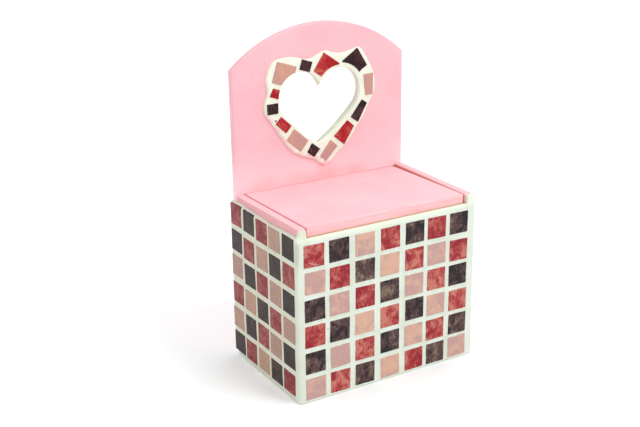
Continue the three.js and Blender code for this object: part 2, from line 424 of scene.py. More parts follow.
class Bench:
    """Lays out the nodes of one material and joins them. Its lengths are millimetres."""

    def __init__(self, name: str) -> None:
        """Starts a material with a principled shader.

        Args:
            name: The material's name.
        """
        self.material = bpy.data.materials.new(name)
        self.material.use_nodes = True
        self.tree = self.material.node_tree
        self.shader = self.tree.nodes["Principled BSDF"]
        spot = self.tree.nodes.new("ShaderNodeTexCoord").outputs["Object"]
        self.place = self.scaled(spot, 1 / MM)

    def feed(self, socket: Socket, value: object) -> None:
        """Joins a socket to an input, or sets the input's own value.

        Args:
            socket: The input.
            value: The socket that feeds it, or a plain value.
        """
        if isinstance(value, Socket):
            self.tree.links.new(value, socket)
        else:
            socket.default_value = value

    def node(self, kind: str, feeds: dict[str | int, object], **settings: str) -> bpy.types.Node:
        """Adds a node.

        Args:
            kind: Its type, without the word ShaderNode.
            feeds: What each input gets, by the input's name or number.
            settings: Values of the node's own properties.

        Returns:
            The node.
        """
        node = self.tree.nodes.new(f"ShaderNode{kind}")
        for name, value in settings.items():
            setattr(node, name, value)
        for key, value in feeds.items():
            self.feed(node.inputs[key], value)
        return node

    def vector(self, way: str, first: Socket, second: object = (0.0, 0.0, 0.0)) -> Socket:
        """Does arithmetic on two vectors, or gives the length of one."""
        node = self.node("VectorMath", {0: first, 1: second}, operation=way)
        return node.outputs["Value" if way == "LENGTH" else "Vector"]

    def scaled(self, value: Socket, factor: float) -> Socket:
        """Gives a vector, or a number as a vector, times a factor."""
        return self.vector("MULTIPLY", value, (factor, factor, factor))

    def maths(self, way: str, first: object, second: object = 0.0) -> Socket:
        """Does arithmetic on one or two numbers."""
        return self.node("Math", {0: first, 1: second}, operation=way).outputs[0]

    def axis(self, name: str) -> Socket:
        """Gives one coordinate, X, Y or Z, in millimetres."""
        return self.node("SeparateXYZ", {0: self.place}).outputs[name]

    def hand(self) -> Socket:
        """Gives the number that differs from piece to piece."""
        return self.node("Attribute", {}, attribute_name=SEED_ATTRIBUTE).outputs["Fac"]

    def grain(self, place: Socket, period: float | Triple, detail: float = 3.0,
              rough: float = 0.5) -> Socket:
        """Gives soft noise.

        Args:
            place: Where it is read.
            period: Size of its waves: one length, or three for stretched waves.
            detail: How many finer layers it has.
            rough: How strong the finer layers are.

        Returns:
            Noise from 0 to 1, mostly near 0.5.
        """
        sizes = period if isinstance(period, tuple) else (period, period, period)
        scaled = self.vector("DIVIDE", place, sizes)
        feeds = {"Vector": scaled, "Scale": 1.0, "Detail": detail, "Roughness": rough}
        return self.node("TexNoise", feeds).outputs["Fac"]

    def warped(self, place: Socket, period: float, amount: float) -> Socket:
        """Bends a place about by soft noise.

        Args:
            place: Where it is read.
            period: Size of the bends.
            amount: How far they reach.

        Returns:
            The bent place.
        """
        bends = self.node("TexNoise", {"Vector": place, "Scale": 1 / period, "Detail": 2.0})
        centred = self.vector("SUBTRACT", bends.outputs["Color"], (0.5, 0.5, 0.5))
        return self.vector("ADD", place, self.scaled(centred, amount))

    def between(self, value: Socket, low: float, high: float, first: float = 0.0,
                last: float = 1.0) -> Socket:
        """Eases a value from the range low to high into the range first to last."""
        feeds = {"Value": value, "From Min": low, "From Max": high, "To Min": first, "To Max": last}
        return self.node("MapRange", feeds, interpolation_type="SMOOTHSTEP").outputs["Result"]

    def near(self, spot: Triple, reach: Triple) -> Socket:
        """Gives 1 around a spot and 0 away from it.

        Args:
            spot: Its place, in millimetres.
            reach: How far it reaches along each axis.

        Returns:
            The mask.
        """
        away = self.vector("SUBTRACT", self.place, spot)
        distance = self.vector("LENGTH", self.vector("DIVIDE", away, reach))
        return self.between(distance, 0.45, 1.0, 1.0, 0.0)

    def mix(self, share: object, first: object, second: object) -> Socket:
        """Mixes two colours by a share; inputs 6 and 7 and output 2 are the colour sockets."""
        return self.node("Mix", {0: share, 6: first, 7: second}, data_type="RGBA").outputs[2]

    def bump(self, height: Socket, depth: float, under: Socket | None = None) -> Socket:
        """Turns a height into a surface relief.

        Args:
            height: The height, from 0 to 1.
            depth: What a height of 1 measures, in millimetres.
            under: A coarser relief that it lies on.

        Returns:
            The surface normal.
        """
        feeds = {"Distance": depth * MM, "Height": height}
        if under is not None:
            feeds["Normal"] = under
        return self.node("Bump", feeds).outputs["Normal"]

    def finish(self, colour: Socket, roughness: Socket, normal: Socket) -> Material:
        """Joins the result to the shader.

        Args:
            colour: The surface's colour.
            roughness: Its roughness.
            normal: Its relief.

        Returns:
            The material.
        """
        self.feed(self.shader.inputs["Base Color"], colour)
        self.feed(self.shader.inputs["Roughness"], roughness)
        self.feed(self.shader.inputs["Normal"], normal)
        return self.material


@dataclass(frozen=True)
class PaintFinish:
    """Thin pink paint, brushed over the grain of plain wood. Its lengths are millimetres."""

    name: str = "pink_paint"
    main: Colour = srgb(237, 182, 189)
    pale: Colour = srgb(241, 189, 195)
    worn: Colour = srgb(236, 156, 152)
    grain_period: Triple = (9.0, 1.4, 9.0)
    # Spots of worn paint, with a painted pink bounce from the lid.
    wear_and_bounce: tuple[Triple, ...] = ()
    wear_and_bounce_y: float = 26.2
    wear_and_bounce_depth: float = 3.6
    # A paler pink painted as light on the back board's foot, lifting the shade where it meets the
    # lid.
    painted_foot_light: Colour = srgb(248, 202, 207)
    foot_light_below: float = 0.0
    foot_light_fade: float = 24.0
    ply_lines: bool = False
    ply_period: Triple = (26.0, 26.0, 0.42)
    ply_front: Span = (-28.1, -27.7)
    ply_foot: Span = (75.5, 76.0)
    ply_ends: Span = (40.6, 40.9)
    bare: Colour = srgb(206, 152, 106)
    edge: Colour = srgb(200, 106, 92)
    inner_face: float = 0.0
    inner_fade: float = 0.35
    # The deeper pink is painted shade on the side boards' outer faces.
    shaded_outer_face: Span = (44.8, 45.2)
    deep: Colour = srgb(214, 147, 153)
    raw: Colour = srgb(208, 122, 98)

    def material(self) -> Material:
        """Makes the paint's material.

        Returns:
            The material.
        """
        bench = Bench(self.name)
        streaks = bench.grain(bench.place, self.grain_period, 5.0, 0.6)
        clouds = bench.grain(bench.place, 17.0, 2.0)
        pores = bench.grain(bench.place, 0.6, 2.0)
        colour = bench.mix(bench.between(clouds, *SWING), self.main, self.pale)
        colour = bench.mix(bench.between(streaks, 0.5, 0.8, 0.0, 0.2), colour, self.worn)
        colour = bench.mix(bench.between(pores, *CRESTS, 0.0, 0.12), colour, self.worn)
        # Painted light: a paler pink, strongest just above the lid, lifts the shade at the board's
        # foot.
        if self.foot_light_below:
            fade_start = self.foot_light_below - self.foot_light_fade
            painted_foot_light = bench.between(bench.axis("Z"), fade_start, self.foot_light_below, 0.9, 0.0)
            colour = bench.mix(painted_foot_light, colour, self.painted_foot_light)
        # Salmon spots at the foot: worn paint and a painted pink bounce from the lid.
        for x, z, reach in self.wear_and_bounce:
            spot = bench.near((x, self.wear_and_bounce_y, z), (reach, self.wear_and_bounce_depth, 0.6 * reach))
            patchy = bench.maths("MULTIPLY", spot, bench.between(clouds, 0.35, 0.65, 0.0, 0.28))
            colour = bench.mix(patchy, colour, self.worn)
        if self.ply_lines:
            layers = bench.grain(bench.place, self.ply_period, 3.0, 0.6)
            facing = bench.between(bench.axis("Y"), *self.ply_front, 1.0, 0.0)
            lines = bench.maths("MULTIPLY", facing, bench.between(layers, 0.42, 0.6, 0.1, 0.65))
            colour = bench.mix(lines, colour, self.worn)
            low = bench.between(bench.axis("Z"), *self.ply_foot, 0.75, 0.0)
            colour = bench.mix(low, colour, self.bare)
            aside = bench.maths("ABSOLUTE", bench.axis("X"))
            colour = bench.mix(bench.between(aside, *self.ply_ends, 0.0, 0.6), colour, self.edge)
        if self.inner_face:
            aside = bench.axis("X")
            # Painted shade: the side boards' outer faces take the deeper pink.
            outwards = bench.maths("ABSOLUTE", aside)
            outer = bench.between(outwards, *self.shaded_outer_face, 0.0, 0.7)
            colour = bench.mix(outer, colour, self.deep)
            fade_end = self.inner_face + self.inner_fade
            bare = bench.between(aside, self.inner_face, fade_end, 0.9, 0.0)
            right = bench.maths("GREATER_THAN", aside, 0.0)
            colour = bench.mix(bench.maths("MULTIPLY", bare, right), colour, self.raw)
        rough = bench.between(streaks, *SWING, 0.46, 0.6)
        relief = bench.bump(streaks, 0.05)
        return bench.finish(colour, rough, bench.bump(pores, 0.015, relief))


@dataclass(frozen=True)
class RawWoodFinish:
    """Plain pale wood, for what the paint doesn't reach."""

    name: str = "raw_wood"
    pale: Colour = srgb(214, 176, 132)
    dark: Colour = srgb(172, 124, 84)
    ring_period: Triple = (26.0, 2.2, 2.2)
    pore_period: Triple = (5.0, 0.3, 0.3)

    def material(self) -> Material:
        """Makes the wood's material.

        Returns:
            The material.
        """
        bench = Bench(self.name)
        bent = bench.warped(bench.place, 12.0, 2.5)
        rings = bench.grain(bent, self.ring_period, 5.0, 0.62)
        pores = bench.grain(bent, self.pore_period, 2.0)
        colour = bench.mix(bench.between(rings, 0.35, 0.7), self.pale, self.dark)
        colour = bench.mix(bench.between(pores, *CRESTS, 0.0, 0.35), colour, self.dark)
        rough = bench.between(rings, *SWING, 0.6, 0.78)
        return bench.finish(colour, rough, bench.bump(pores, 0.04, bench.bump(rings, 0.06)))


@dataclass(frozen=True)
class Mark:
    """A small patch of colour on the plaster: a stain, a speck, or painted shade. Its lengths are
    millimetres.
    """

    spot: Triple
    reach: Triple
    colour: Colour
    strength: float = 0.8


@dataclass(frozen=True)
class PlasterFinish:
    """Matt white plaster with a faint green cast, wiped by hand."""

    name: str = "plaster"
    main: Colour = srgb(208, 216, 204)
    shade: Colour = srgb(193, 199, 181)
    marks: tuple[Mark, ...] = ()
    cloud_period: float = 6.5
    sand_period: float = 0.42
    wipe_period: Triple = (3.4, 3.4, 1.0)
    shade_streak_period: Triple = (2.6, 2.6, 36.0)

    def material(self) -> Material:
        """Makes the plaster's material.

        Returns:
            The material.
        """
        bench = Bench(self.name)
        clouds = bench.grain(bench.place, self.cloud_period, 3.0)
        sand = bench.grain(bench.place, self.sand_period, 3.0, 0.6)
        wiped = bench.grain(bench.warped(bench.place, 5.0, 2.0), self.wipe_period, 3.0)
        colour = bench.mix(bench.between(clouds, 0.4, 0.75, 0.0, 0.55), self.main, self.shade)
        colour = bench.mix(bench.between(sand, 0.62, 0.8, 0.0, 0.25), colour, self.shade)
        # Upright grey streaks: painted shade, like that in the sunken upright joints.
        upright_shade_streaks = bench.grain(bench.place, self.shade_streak_period, 2.0)
        colour = bench.mix(bench.between(upright_shade_streaks, 0.45, 0.7, 0.0, 0.4), colour, self.shade)
        for mark in self.marks:
            spot = bench.near(mark.spot, mark.reach)
            patchy = bench.maths("MULTIPLY", spot, bench.between(clouds, 0.2, 0.5, 0.5, 1.0))
            share = bench.maths("MULTIPLY", patchy, mark.strength)
            colour = bench.mix(share, colour, mark.colour)
        rough = bench.between(sand, *SWING, 0.72, 0.92)
        relief = bench.bump(wiped, 0.12)
        return bench.finish(colour, rough, bench.bump(sand, 0.05, relief))


class Glaze(Enum):
    """The three colours of tile."""

    RED = "red_tile"
    BLACK = "black_tile"
    PINK = "pink_tile"


@dataclass(frozen=True)
class GlazeFinish:
    """Satin glaze with swirls that differ from tile to tile. Its lengths are millimetres."""

    name: str
    deep: Colour
    main: Colour
    pale: Colour
    fleck: Colour
    feathers: float
    pale_from: float
    pale_share: float
    vein_share: float
    fleck_share: float
    lean: float
    # The left side's tiles get this darker tone mixed in as painted shade.
    side: Colour = srgb(0, 0, 0)
    left_shade_share: float = 0.0
    left_shade_start: Span = (45.2, 45.4)
    scratches: tuple[Triple, ...] = ()
    scratch_reach: Triple = (0.75, 1.0, 0.09)
    chalk: Colour = srgb(206, 158, 166)
    gloss: float = 0.14
    own_place: float = 180.0
    feather_period: Triple = (1.0, 1.0, 4.2)
    cloud_period: float = 5.0
    vein_width: float = 0.02

    def material(self) -> Material:
        """Makes the glaze's material.

        Returns:
            The material.
        """
        bench = Bench(self.name)
        hand = bench.hand()
        place = bench.vector("ADD", bench.place, bench.scaled(hand, self.own_place))
        bent = bench.warped(place, 9.0, 11.0)
        curled = bench.warped(bent, 1.6, 1.2)
        feathers = bench.grain(curled, self.feather_period, 4.0, 0.62)
        clouds = bench.grain(bent, self.cloud_period, 2.0)
        share = bench.maths("MULTIPLY", bench.maths("SUBTRACT", feathers, 0.5), self.feathers)
        leaning = bench.between(hand, 0.0, 1.0, -self.lean, self.lean)
        tone = bench.maths("ADD", bench.maths("ADD", clouds, share), leaning)
        colour = bench.mix(bench.between(tone, 0.36, 0.52), self.deep, self.main)
        pale = bench.between(tone, self.pale_from, self.pale_from + 0.18, 0.0, self.pale_share)
        colour = bench.mix(pale, colour, self.pale)
        gathered = bench.between(bench.grain(place, self.cloud_period, 1.0), 0.42, 0.62)
        for threads, tint in ((bench.grain(bent, 4.2, 2.0), self.deep),
                              (bench.grain(curled, 3.6, 1.5), self.pale)):
            ridge = bench.maths("ABSOLUTE", bench.maths("SUBTRACT", threads, 0.5))
            thread = bench.between(ridge, 0.0, self.vein_width, self.vein_share, 0.0)
            colour = bench.mix(bench.maths("MULTIPLY", thread, gathered), colour, tint)
        dust = bench.grain(place, 0.6, 2.0, 0.6)
        flecks = bench.between(dust, 0.6, 0.74, 0.0, self.fleck_share)
        colour = bench.mix(flecks, colour, self.fleck)
        for spot in self.scratches:
            colour = bench.mix(bench.near(spot, self.scratch_reach), colour, self.chalk)
        # Painted shade: a darker tone mixed into the tiles on the left side.
        if self.left_shade_share:
            aside = bench.maths("MULTIPLY", bench.axis("X"), -1.0)
            painted_left_shade = bench.between(aside, *self.left_shade_start, 0.0, self.left_shade_share)
            colour = bench.mix(painted_left_shade, colour, self.side)
        bench.shader.inputs["Specular IOR Level"].default_value = self.gloss
        rough = bench.between(feathers, *SWING, 0.24, 0.4)
        relief = bench.bump(bench.grain(place, 2.4, 2.0), 0.04)
        return bench.finish(colour, rough, bench.bump(feathers, 0.02, relief))


WALL_GLAZES = {
    Glaze.RED: GlazeFinish(
        "red_tile", deep=srgb(138, 34, 44), main=srgb(162, 66, 64), pale=srgb(190, 124, 108),
        fleck=srgb(200, 146, 136), feathers=0.8, pale_from=0.5, pale_share=0.75, vein_share=0.6,
        fleck_share=0.2, lean=0.08, side=srgb(92, 26, 34), left_shade_share=0.45,
        scratches=tuple((-40.9 + 0.46 * k, -30.2, 64.6 - 0.16 * k) for k in range(10)),
    ),
    Glaze.BLACK: GlazeFinish(
        "black_tile", deep=srgb(38, 29, 33), main=srgb(78, 57, 57), pale=srgb(130, 110, 90),
        fleck=srgb(150, 134, 122), feathers=0.8, pale_from=0.55, pale_share=0.8, vein_share=0.3,
        fleck_share=0.35, lean=0.07, side=srgb(34, 18, 14), left_shade_share=0.75,
    ),
    Glaze.PINK: GlazeFinish(
        "pink_tile", deep=srgb(178, 143, 137), main=srgb(188, 151, 139), pale=srgb(201, 160, 138),
        fleck=srgb(206, 174, 158), feathers=0.35, pale_from=0.47, pale_share=0.9, vein_share=0.05,
        fleck_share=0.4, lean=0.1, side=srgb(136, 104, 82), left_shade_share=0.5,
    ),
}

HEART_GLAZES = {
    Glaze.RED: GlazeFinish(
        "red_tile_heart", deep=srgb(150, 8, 26), main=srgb(163, 34, 40), pale=srgb(190, 100, 76),
        fleck=srgb(196, 130, 116), feathers=0.7, pale_from=0.53, pale_share=0.7, vein_share=0.4,
        fleck_share=0.15, lean=0.05,
    ),
    Glaze.BLACK: GlazeFinish(
        "black_tile_heart", deep=srgb(34, 15, 19), main=srgb(62, 36, 38), pale=srgb(100, 68, 60),
        fleck=srgb(130, 104, 98), feathers=0.7, pale_from=0.58, pale_share=0.6, vein_share=0.3,
        fleck_share=0.2, lean=0.04,
    ),
    Glaze.PINK: GlazeFinish(
        "pink_tile_heart", deep=srgb(183, 139, 134), main=srgb(187, 142, 129),
        pale=srgb(196, 147, 124), fleck=srgb(204, 166, 150), feathers=0.3, pale_from=0.49,
        pale_share=0.9, vein_share=0.05, fleck_share=0.3, lean=0.06,
    ),
}


@dataclass
class Dresser:
    """Keeps the materials and puts them on pieces."""

    made: dict[str, Material] = field(default_factory=dict)

    def glaze(self, finish: GlazeFinish) -> Material:
        """Gives a glaze's material and makes it at its first use.

        Args:
            finish: The glaze.

        Returns:
            Its material.
        """
        if finish.name not in self.made:
            self.made[finish.name] = finish.material()
        return self.made[finish.name]

    def dress(self, piece: Piece, material: Material,
              stands_for: Sequence[str]) -> None:
        """Gives a new piece its finish and its place in the frame.

        Args:
            piece: The new piece.
            material: Its finish.
            stands_for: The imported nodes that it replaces.
        """
        piece.data.materials.clear()
        piece.data.materials.append(material)
        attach(piece, BODY)
        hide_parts(*stands_for)
        faces = len(piece.data.polygons)
        log.info("%s: %d faces, for %s", piece.name, faces, ", ".join(stands_for))


@dataclass
class HeartShape:
    """Outline of the heart window: two round lobes and two bowed sides."""

    x: float = -1.4 * MM
    lobe_radius: float = 11.15 * MM
    lobe_offset: float = 10.3 * MM
    lobe_height: float = 120.9 * MM
    tip: Vector = field(default_factory=lambda: Vector((-2.5, 98.1)) * MM)
    bow: Vector = field(default_factory=lambda: Vector((10.5, 103.5)) * MM)
    lobe_end: float = math.radians(40)
    tip_growth: float = 1.3
    bow_growth: float = 0.8
    middle_height: float = 114.0 * MM
    lobe_steps: int = 40
    side_steps: int = 28

    def middle(self) -> Vector:
        """Gives a point inside the heart that sees all of its outline."""
        return Vector((self.x, self.middle_height))

    def outline(self, grow: float = 0.0) -> Row:
        """Draws the heart, grown outwards all round.

        Args:
            grow: How far it is grown.

        Returns:
            Its points, anticlockwise from the tip.
        """
        radius = self.lobe_radius + grow
        tip = Vector((self.tip.x, self.tip.y - self.tip_growth * grow))
        last = math.pi - math.acos(self.lobe_offset / radius)
        points: Row = []
        for hand in (1, -1):
            centre = Vector((self.x + hand * self.lobe_offset, self.lobe_height))
            lobe = []
            for step in range(self.lobe_steps + 1):
                share = step / self.lobe_steps
                turn = -self.lobe_end + share * (last + self.lobe_end)
                spoke = Vector((hand * math.cos(turn), math.sin(turn))) * radius
                lobe.append(centre + spoke)
            bow = Vector((
                self.x + hand * (self.bow.x + self.bow_growth * grow),
                self.bow.y - self.bow_growth * grow,
            ))
            steps = self.side_steps
            half = [curve(tip, bow, lobe[0], step / steps) for step in range(steps)] + lobe
            points.extend(half[:-1] if hand == 1 else half[::-1][:-1])
        return points

    def angles(self, count: int) -> list[float]:
        """Spreads rays round the heart, with one at its tip and one at its notch.

        Args:
            count: Rough number of rays.

        Returns:
            Rising angles.
        """
        drop = self.tip - self.middle()
        tip_angle = math.atan2(drop.y, drop.x)
        notch_angle = math.pi / 2
        first = max(1, round(count * (notch_angle - tip_angle) / math.tau))
        second = max(1, count - first)
        rising = [tip_angle + (notch_angle - tip_angle) * k / first for k in range(first)]
        rest = math.tau + tip_angle - notch_angle
        return rising + [notch_angle + rest * k / second for k in range(second)]

    def ring(self, angles: Sequence[float], grow: float) -> Row:
        """Gives the grown heart's points at the given angles."""
        return meet_rays(self.outline(grow), self.middle(), angles)


@dataclass
class Boards:
    """Painted boards that make up the box, its lid and its back."""

    carcass: Carcass
    heart: HeartShape
    corner_height: float = 135.8 * MM
    hole_growth: float = 1.3 * MM
    easing: float = 0.7 * MM
    inner_easing: float = 0.8 * MM
    corner_radius: float = 0.4 * MM
    lid_easing: float = 0.65 * MM
    lid_foot_easing: float = 0.1625 * MM
    lid_shifts: tuple[float, ...] = (0.33 * MM, 0.0, 0.1925 * MM, 0.55 * MM)
    groove_play: float = 0.1 * MM
    outline_spacing: float = 1.6 * MM
    unevenness: float = 0.06 * MM
    wave: float = 24 * MM
    rays: int = 300

    # Salmon spots at the foot of the back board, worn paint and a painted pink bounce from the lid:
    # place across, height and reach, in millimetres.
    FOOT_WEAR_AND_BOUNCE = (
        (0.0, 79.0, 11.0), (-30.0, 80.0, 13.0), (24.0, 82.0, 13.0), (33.0, 88.5, 9.0),
        (2.0, 84.5, 8.0), (-38.0, 91.3, 1.0), (-12.0, 79.0, 14.0), (12.0, 79.0, 14.0),
        (40.0, 80.0, 8.0),
    )

    def build(self, dresser: Dresser) -> None:
        """Builds and dresses every board.

        Args:
            dresser: Puts the finishes on.
        """
        back_paint = PaintFinish(
            "pink_paint_back", main=srgb(231, 171, 179), pale=srgb(236, 179, 186),
            wear_and_bounce=self.FOOT_WEAR_AND_BOUNCE, grain_period=(2.2, 6.0, 7.5), foot_light_below=104.0,
        )
        side_paint = PaintFinish(
            "pink_paint_sides", grain_period=(9.0, 6.0, 1.2),
            inner_face=self.carcass.inner_half_width / MM,
        )
        lid_paint = PaintFinish("pink_paint_lid", ply_lines=True)
        dresser.dress(self._back(), back_paint.material(), ["back_board"])
        sides = side_paint.material()
        for hand, side in ((-1, "left"), (1, "right")):
            board = self._side(hand, f"painted_{side}_side")
            dresser.dress(board, sides, [f"{side}_side_board"])
        dresser.dress(self._lid(), lid_paint.material(), ["lid"])
        wood = RawWoodFinish().material()
        for name in ("front_board", "base_board"):
            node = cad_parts[name]
            node.data.materials.clear()
            node.data.materials.append(wood)
            log.info("%s: kept, with raw wood", name)

    def _sag(self, across: float, up: float) -> float:
        """Gives the slight unevenness of a hand-sanded face."""
        return self.unevenness * ripple(Vector((across, up, 0.0)), self.wave, 3.0)

    def _lid(self) -> Piece:
        """Builds the loose lid, whose corners lie a little to the left of their places.

        Returns:
            The new board.
        """
        low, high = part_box("lid")
        box = ((low.x, low.y), (high.x, low.y), (high.x, high.y), (low.x, high.y))
        corners = [Vector((x - shift, y)) for (x, y), shift in zip(box, self.lid_shifts)]
        slab = Slab(
            self.carcass.level(low.z), self._rings(corners), high.z - low.z, self.lid_easing,
            self.lid_foot_easing, face_rings=9, relief=self._sag,
        )
        return slab.build("painted_lid")

    def _side(self, hand: int, name: str) -> Piece:
        """Builds a side board; the right one rises towards the back.

        Args:
            hand: -1 for the left side and 1 for the right one.
            name: The piece's name.

        Returns:
            The new board.
        """
        case = self.carcass
        back_height = case.left_height if hand == -1 else case.right_height
        corners = [
            Vector((hand * case.wood_front_y, 0)), Vector((hand * case.back_front_y, 0)),
            Vector((hand * case.back_front_y, back_height)),
            Vector((hand * case.wood_front_y, case.left_height)),
        ]
        if hand == -1:
            corners.reverse()
        plane = case.side(hand, case.inner_half_width)
        slab = Slab(plane, self._rings(corners), case.board, self.easing, self.inner_easing)
        return slab.build(name)

    def _rings(self, corners: Row) -> Callable[[float], Row]:
        """Gives the rings of a board with barely rounded corners, by how far they are drawn in."""
        radius, spacing = self.corner_radius, self.outline_spacing
        return lambda drawn_in: rounded_outline(corners, radius, spacing, drawn_in)

    def _back_outline(self) -> Row:
        """Draws the back board: straight sides under an arch.

        Returns:
            The outline's points.
        """
        case = self.carcass
        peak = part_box("back_board")[1].z
        rise = peak - self.corner_height
        radius = (case.half_width ** 2 + rise ** 2) / (2 * rise)
        half_turn = math.asin(case.half_width / radius)
        arch_steps = 60
        corners = [Vector((-case.half_width, 0)), Vector((case.half_width, 0))]
        for step in range(arch_steps + 1):
            turn = half_turn * (1 - 2 * step / arch_steps)
            spoke = Vector((math.sin(turn), math.cos(turn))) * radius
            corners.append(Vector((0, peak - radius)) + spoke)
        ends = corners[:3] + corners[-1:]
        rough = rounded_outline(ends, self.corner_radius, self.outline_spacing)
        below = [point for point in rough if point.y < self.corner_height - self.corner_radius]
        right = [point for point in below if point.x > 0 or point.y < self.easing]
        left = [point for point in below if point.x <= 0 and point.y >= self.easing]
        start = min(range(len(right)), key=lambda k: right[k].x)
        right = right[start:] + right[:start]
        left.sort(key=lambda point: -point.y)
        return right + corners[2:] + left

    def _back(self) -> Piece:
        """Builds the back board with its heart window and the groove for the lid.

        Returns:
            The new board.
        """
        case = self.carcass
        middle = self.heart.middle()
        spread = self.heart.angles(self.rays)
        outline = self._back_outline()
        digits = 4
        aways = [point - middle for point in outline]
        corner_angles = [math.atan2(away.y, away.x) for away in aways]
        angles = sorted({round(a % math.tau, digits) for a in spread + corner_angles})
        plane = case.upright(case.back_y)
        hole = self.heart.ring(angles, self.hole_growth)
        rim = self.heart.ring(angles, self.hole_growth + self.easing)
        outer = meet_rays(outline, middle, angles)
        edge = meet_rays(inset(outline, self.easing), middle, angles)
        shares = [0.0, 0.04, 0.2, 0.4, 0.6, 0.8, 0.96, 1.0]
        front, back = case.board, 0.0
        corner_share = 0.3
        bevel = corner_share * self.easing

        def ring(points: Row, height: float) -> Row:
            """Stands a ring of points off the board's rear plane."""
            return [plane.at(point, height) for point in points]

        def between(share: float) -> Row:
            """Gives the ring that lies between the window and the edge."""
            return [a.lerp(b, share) for a, b in zip(rim, edge)]

        def halfway(first: Row, second: Row) -> Row:
            """Gives the ring near the corner of a rounded edge."""
            return [a.lerp(b, corner_share) for a, b in zip(first, second)]

        rows = [ring(hole, front / 2), ring(hole, front - self.easing)]
        rows.append(ring(halfway(hole, rim), front - bevel))
        rows += [ring(between(share), front) for share in shares]
        rows.append(ring(halfway(outer, edge), front - bevel))
        rows += [ring(outer, front - self.easing), ring(outer, self.easing)]
        rows.append(ring(halfway(outer, edge), bevel))
        rows += [ring(between(share), back) for share in reversed(shares)]
        rows.append(ring(halfway(hole, rim), bevel))
        rows.append(ring(hole, self.easing))
        draft = Draft()
        draft.loft(rows, round_trip=True)
        board = draft.piece("painted_back_board")
        self._cut_groove(board)
        return board

    def _cut_groove(self, board: Piece) -> None:
        """Cuts the shallow groove that holds the rear edge of the lid.

        Args:
            board: The back board.
        """
        low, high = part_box("lid")
        play = self.groove_play
        depth = high.y + play - self.carcass.back_front_y
        width = 2 * (self.carcass.inner_half_width - play)
        size = Vector((width, 2 * depth, high.z - low.z + 2 * play))
        centre = Vector((0, self.carcass.back_front_y, (low.z + high.z) / 2))
        work = bmesh.new()
        place = Matrix.Translation(centre) @ Matrix.Diagonal(size).to_4x4()
        bmesh.ops.create_cube(work, size=1, matrix=place)
        tool_mesh = bpy.data.meshes.new("groove_tool")
        work.to_mesh(tool_mesh)
        work.free()
        tool = bpy.data.objects.new("groove_tool", tool_mesh)
        bpy.context.scene.collection.objects.link(tool)
        cut = board.modifiers.new("groove", "BOOLEAN")
        cut.operation = "DIFFERENCE"
        cut.solver = "EXACT"
        cut.object = tool
        bpy.context.view_layer.update()
        seen = board.evaluated_get(bpy.context.evaluated_depsgraph_get())
        whole = board.data
        board.data = bpy.data.meshes.new_from_object(seen)
        board.modifiers.clear()
        board.data.name = "painted_back_board"
        bpy.data.meshes.remove(whole)
        bpy.data.objects.remove(tool)
        bpy.data.meshes.remove(tool_mesh)


@dataclass
class Grid:
    """Places of the tiles on one wall, as a hand lays them."""

    columns: int
    rows: int
    first: Vector
    pitch: Vector
    row_starts: Sequence[int]
    order: Sequence[Glaze]
    seed: int
    column_shift: Sequence[float] = (0.0,) * 7
    lean: float = 0.0
    lift: Relief = lambda across, up: 0.0
    half_tile: float = 5.0 * MM
    shift: float = 0.25 * MM
    turn: float = math.radians(1.3)

    def across(self, up: float) -> list[float]:
        """Gives the middle of each column at a height.

        Args:
            up: The height.

        Returns:
            The places across, one for each column.
        """
        middle = self.first.y - self.pitch.y * (self.rows - 1) / 2
        leaning = self.lean * (up - middle)
        return [
            self.first.x + column * self.pitch.x + self.column_shift[column] * MM + leaning
            for column in range(self.columns)
        ]

    def up(self, across: float) -> list[float]:
        """Gives the middle of each row at a place across, from the top down."""
        even = [self.first.y - row * self.pitch.y for row in range(self.rows)]
        return [height + self.lift(across, height) for height in even]

    def number(self, row: int, column: int) -> int:
        """Gives the number that a tile's irregularities start from."""
        return self.seed + row * self.columns + column

    def corners(self, row: int, column: int) -> Row:
        """Gives a tile's corners: a little off its place and a little turned.

        Args:
            row: The tile's row, from the top.
            column: The tile's column.

        Returns:
            Four corners, anticlockwise.
        """
        number = self.number(row, column)
        across = self.across(self.first.y - row * self.pitch.y)[column]
        centre = Vector((
            across + self.shift * wobble(number, Whim.ACROSS),
            self.up(across)[row] + self.shift * wobble(number, Whim.UP),
        ))
        spin = Matrix.Rotation(self.turn * wobble(number, Whim.TURN), 2)
        half = self.half_tile
        return [
            centre + spin @ Vector(offset)
            for offset in ((-half, -half), (half, -half), (half, half), (-half, half))
        ]

    def glaze(self, row: int, column: int, slip: int = 0) -> Glaze:
        """Gives a tile's colour: each row runs on in one order from its own start."""
        return self.order[(self.row_starts[row] + column + slip) % len(self.order)]


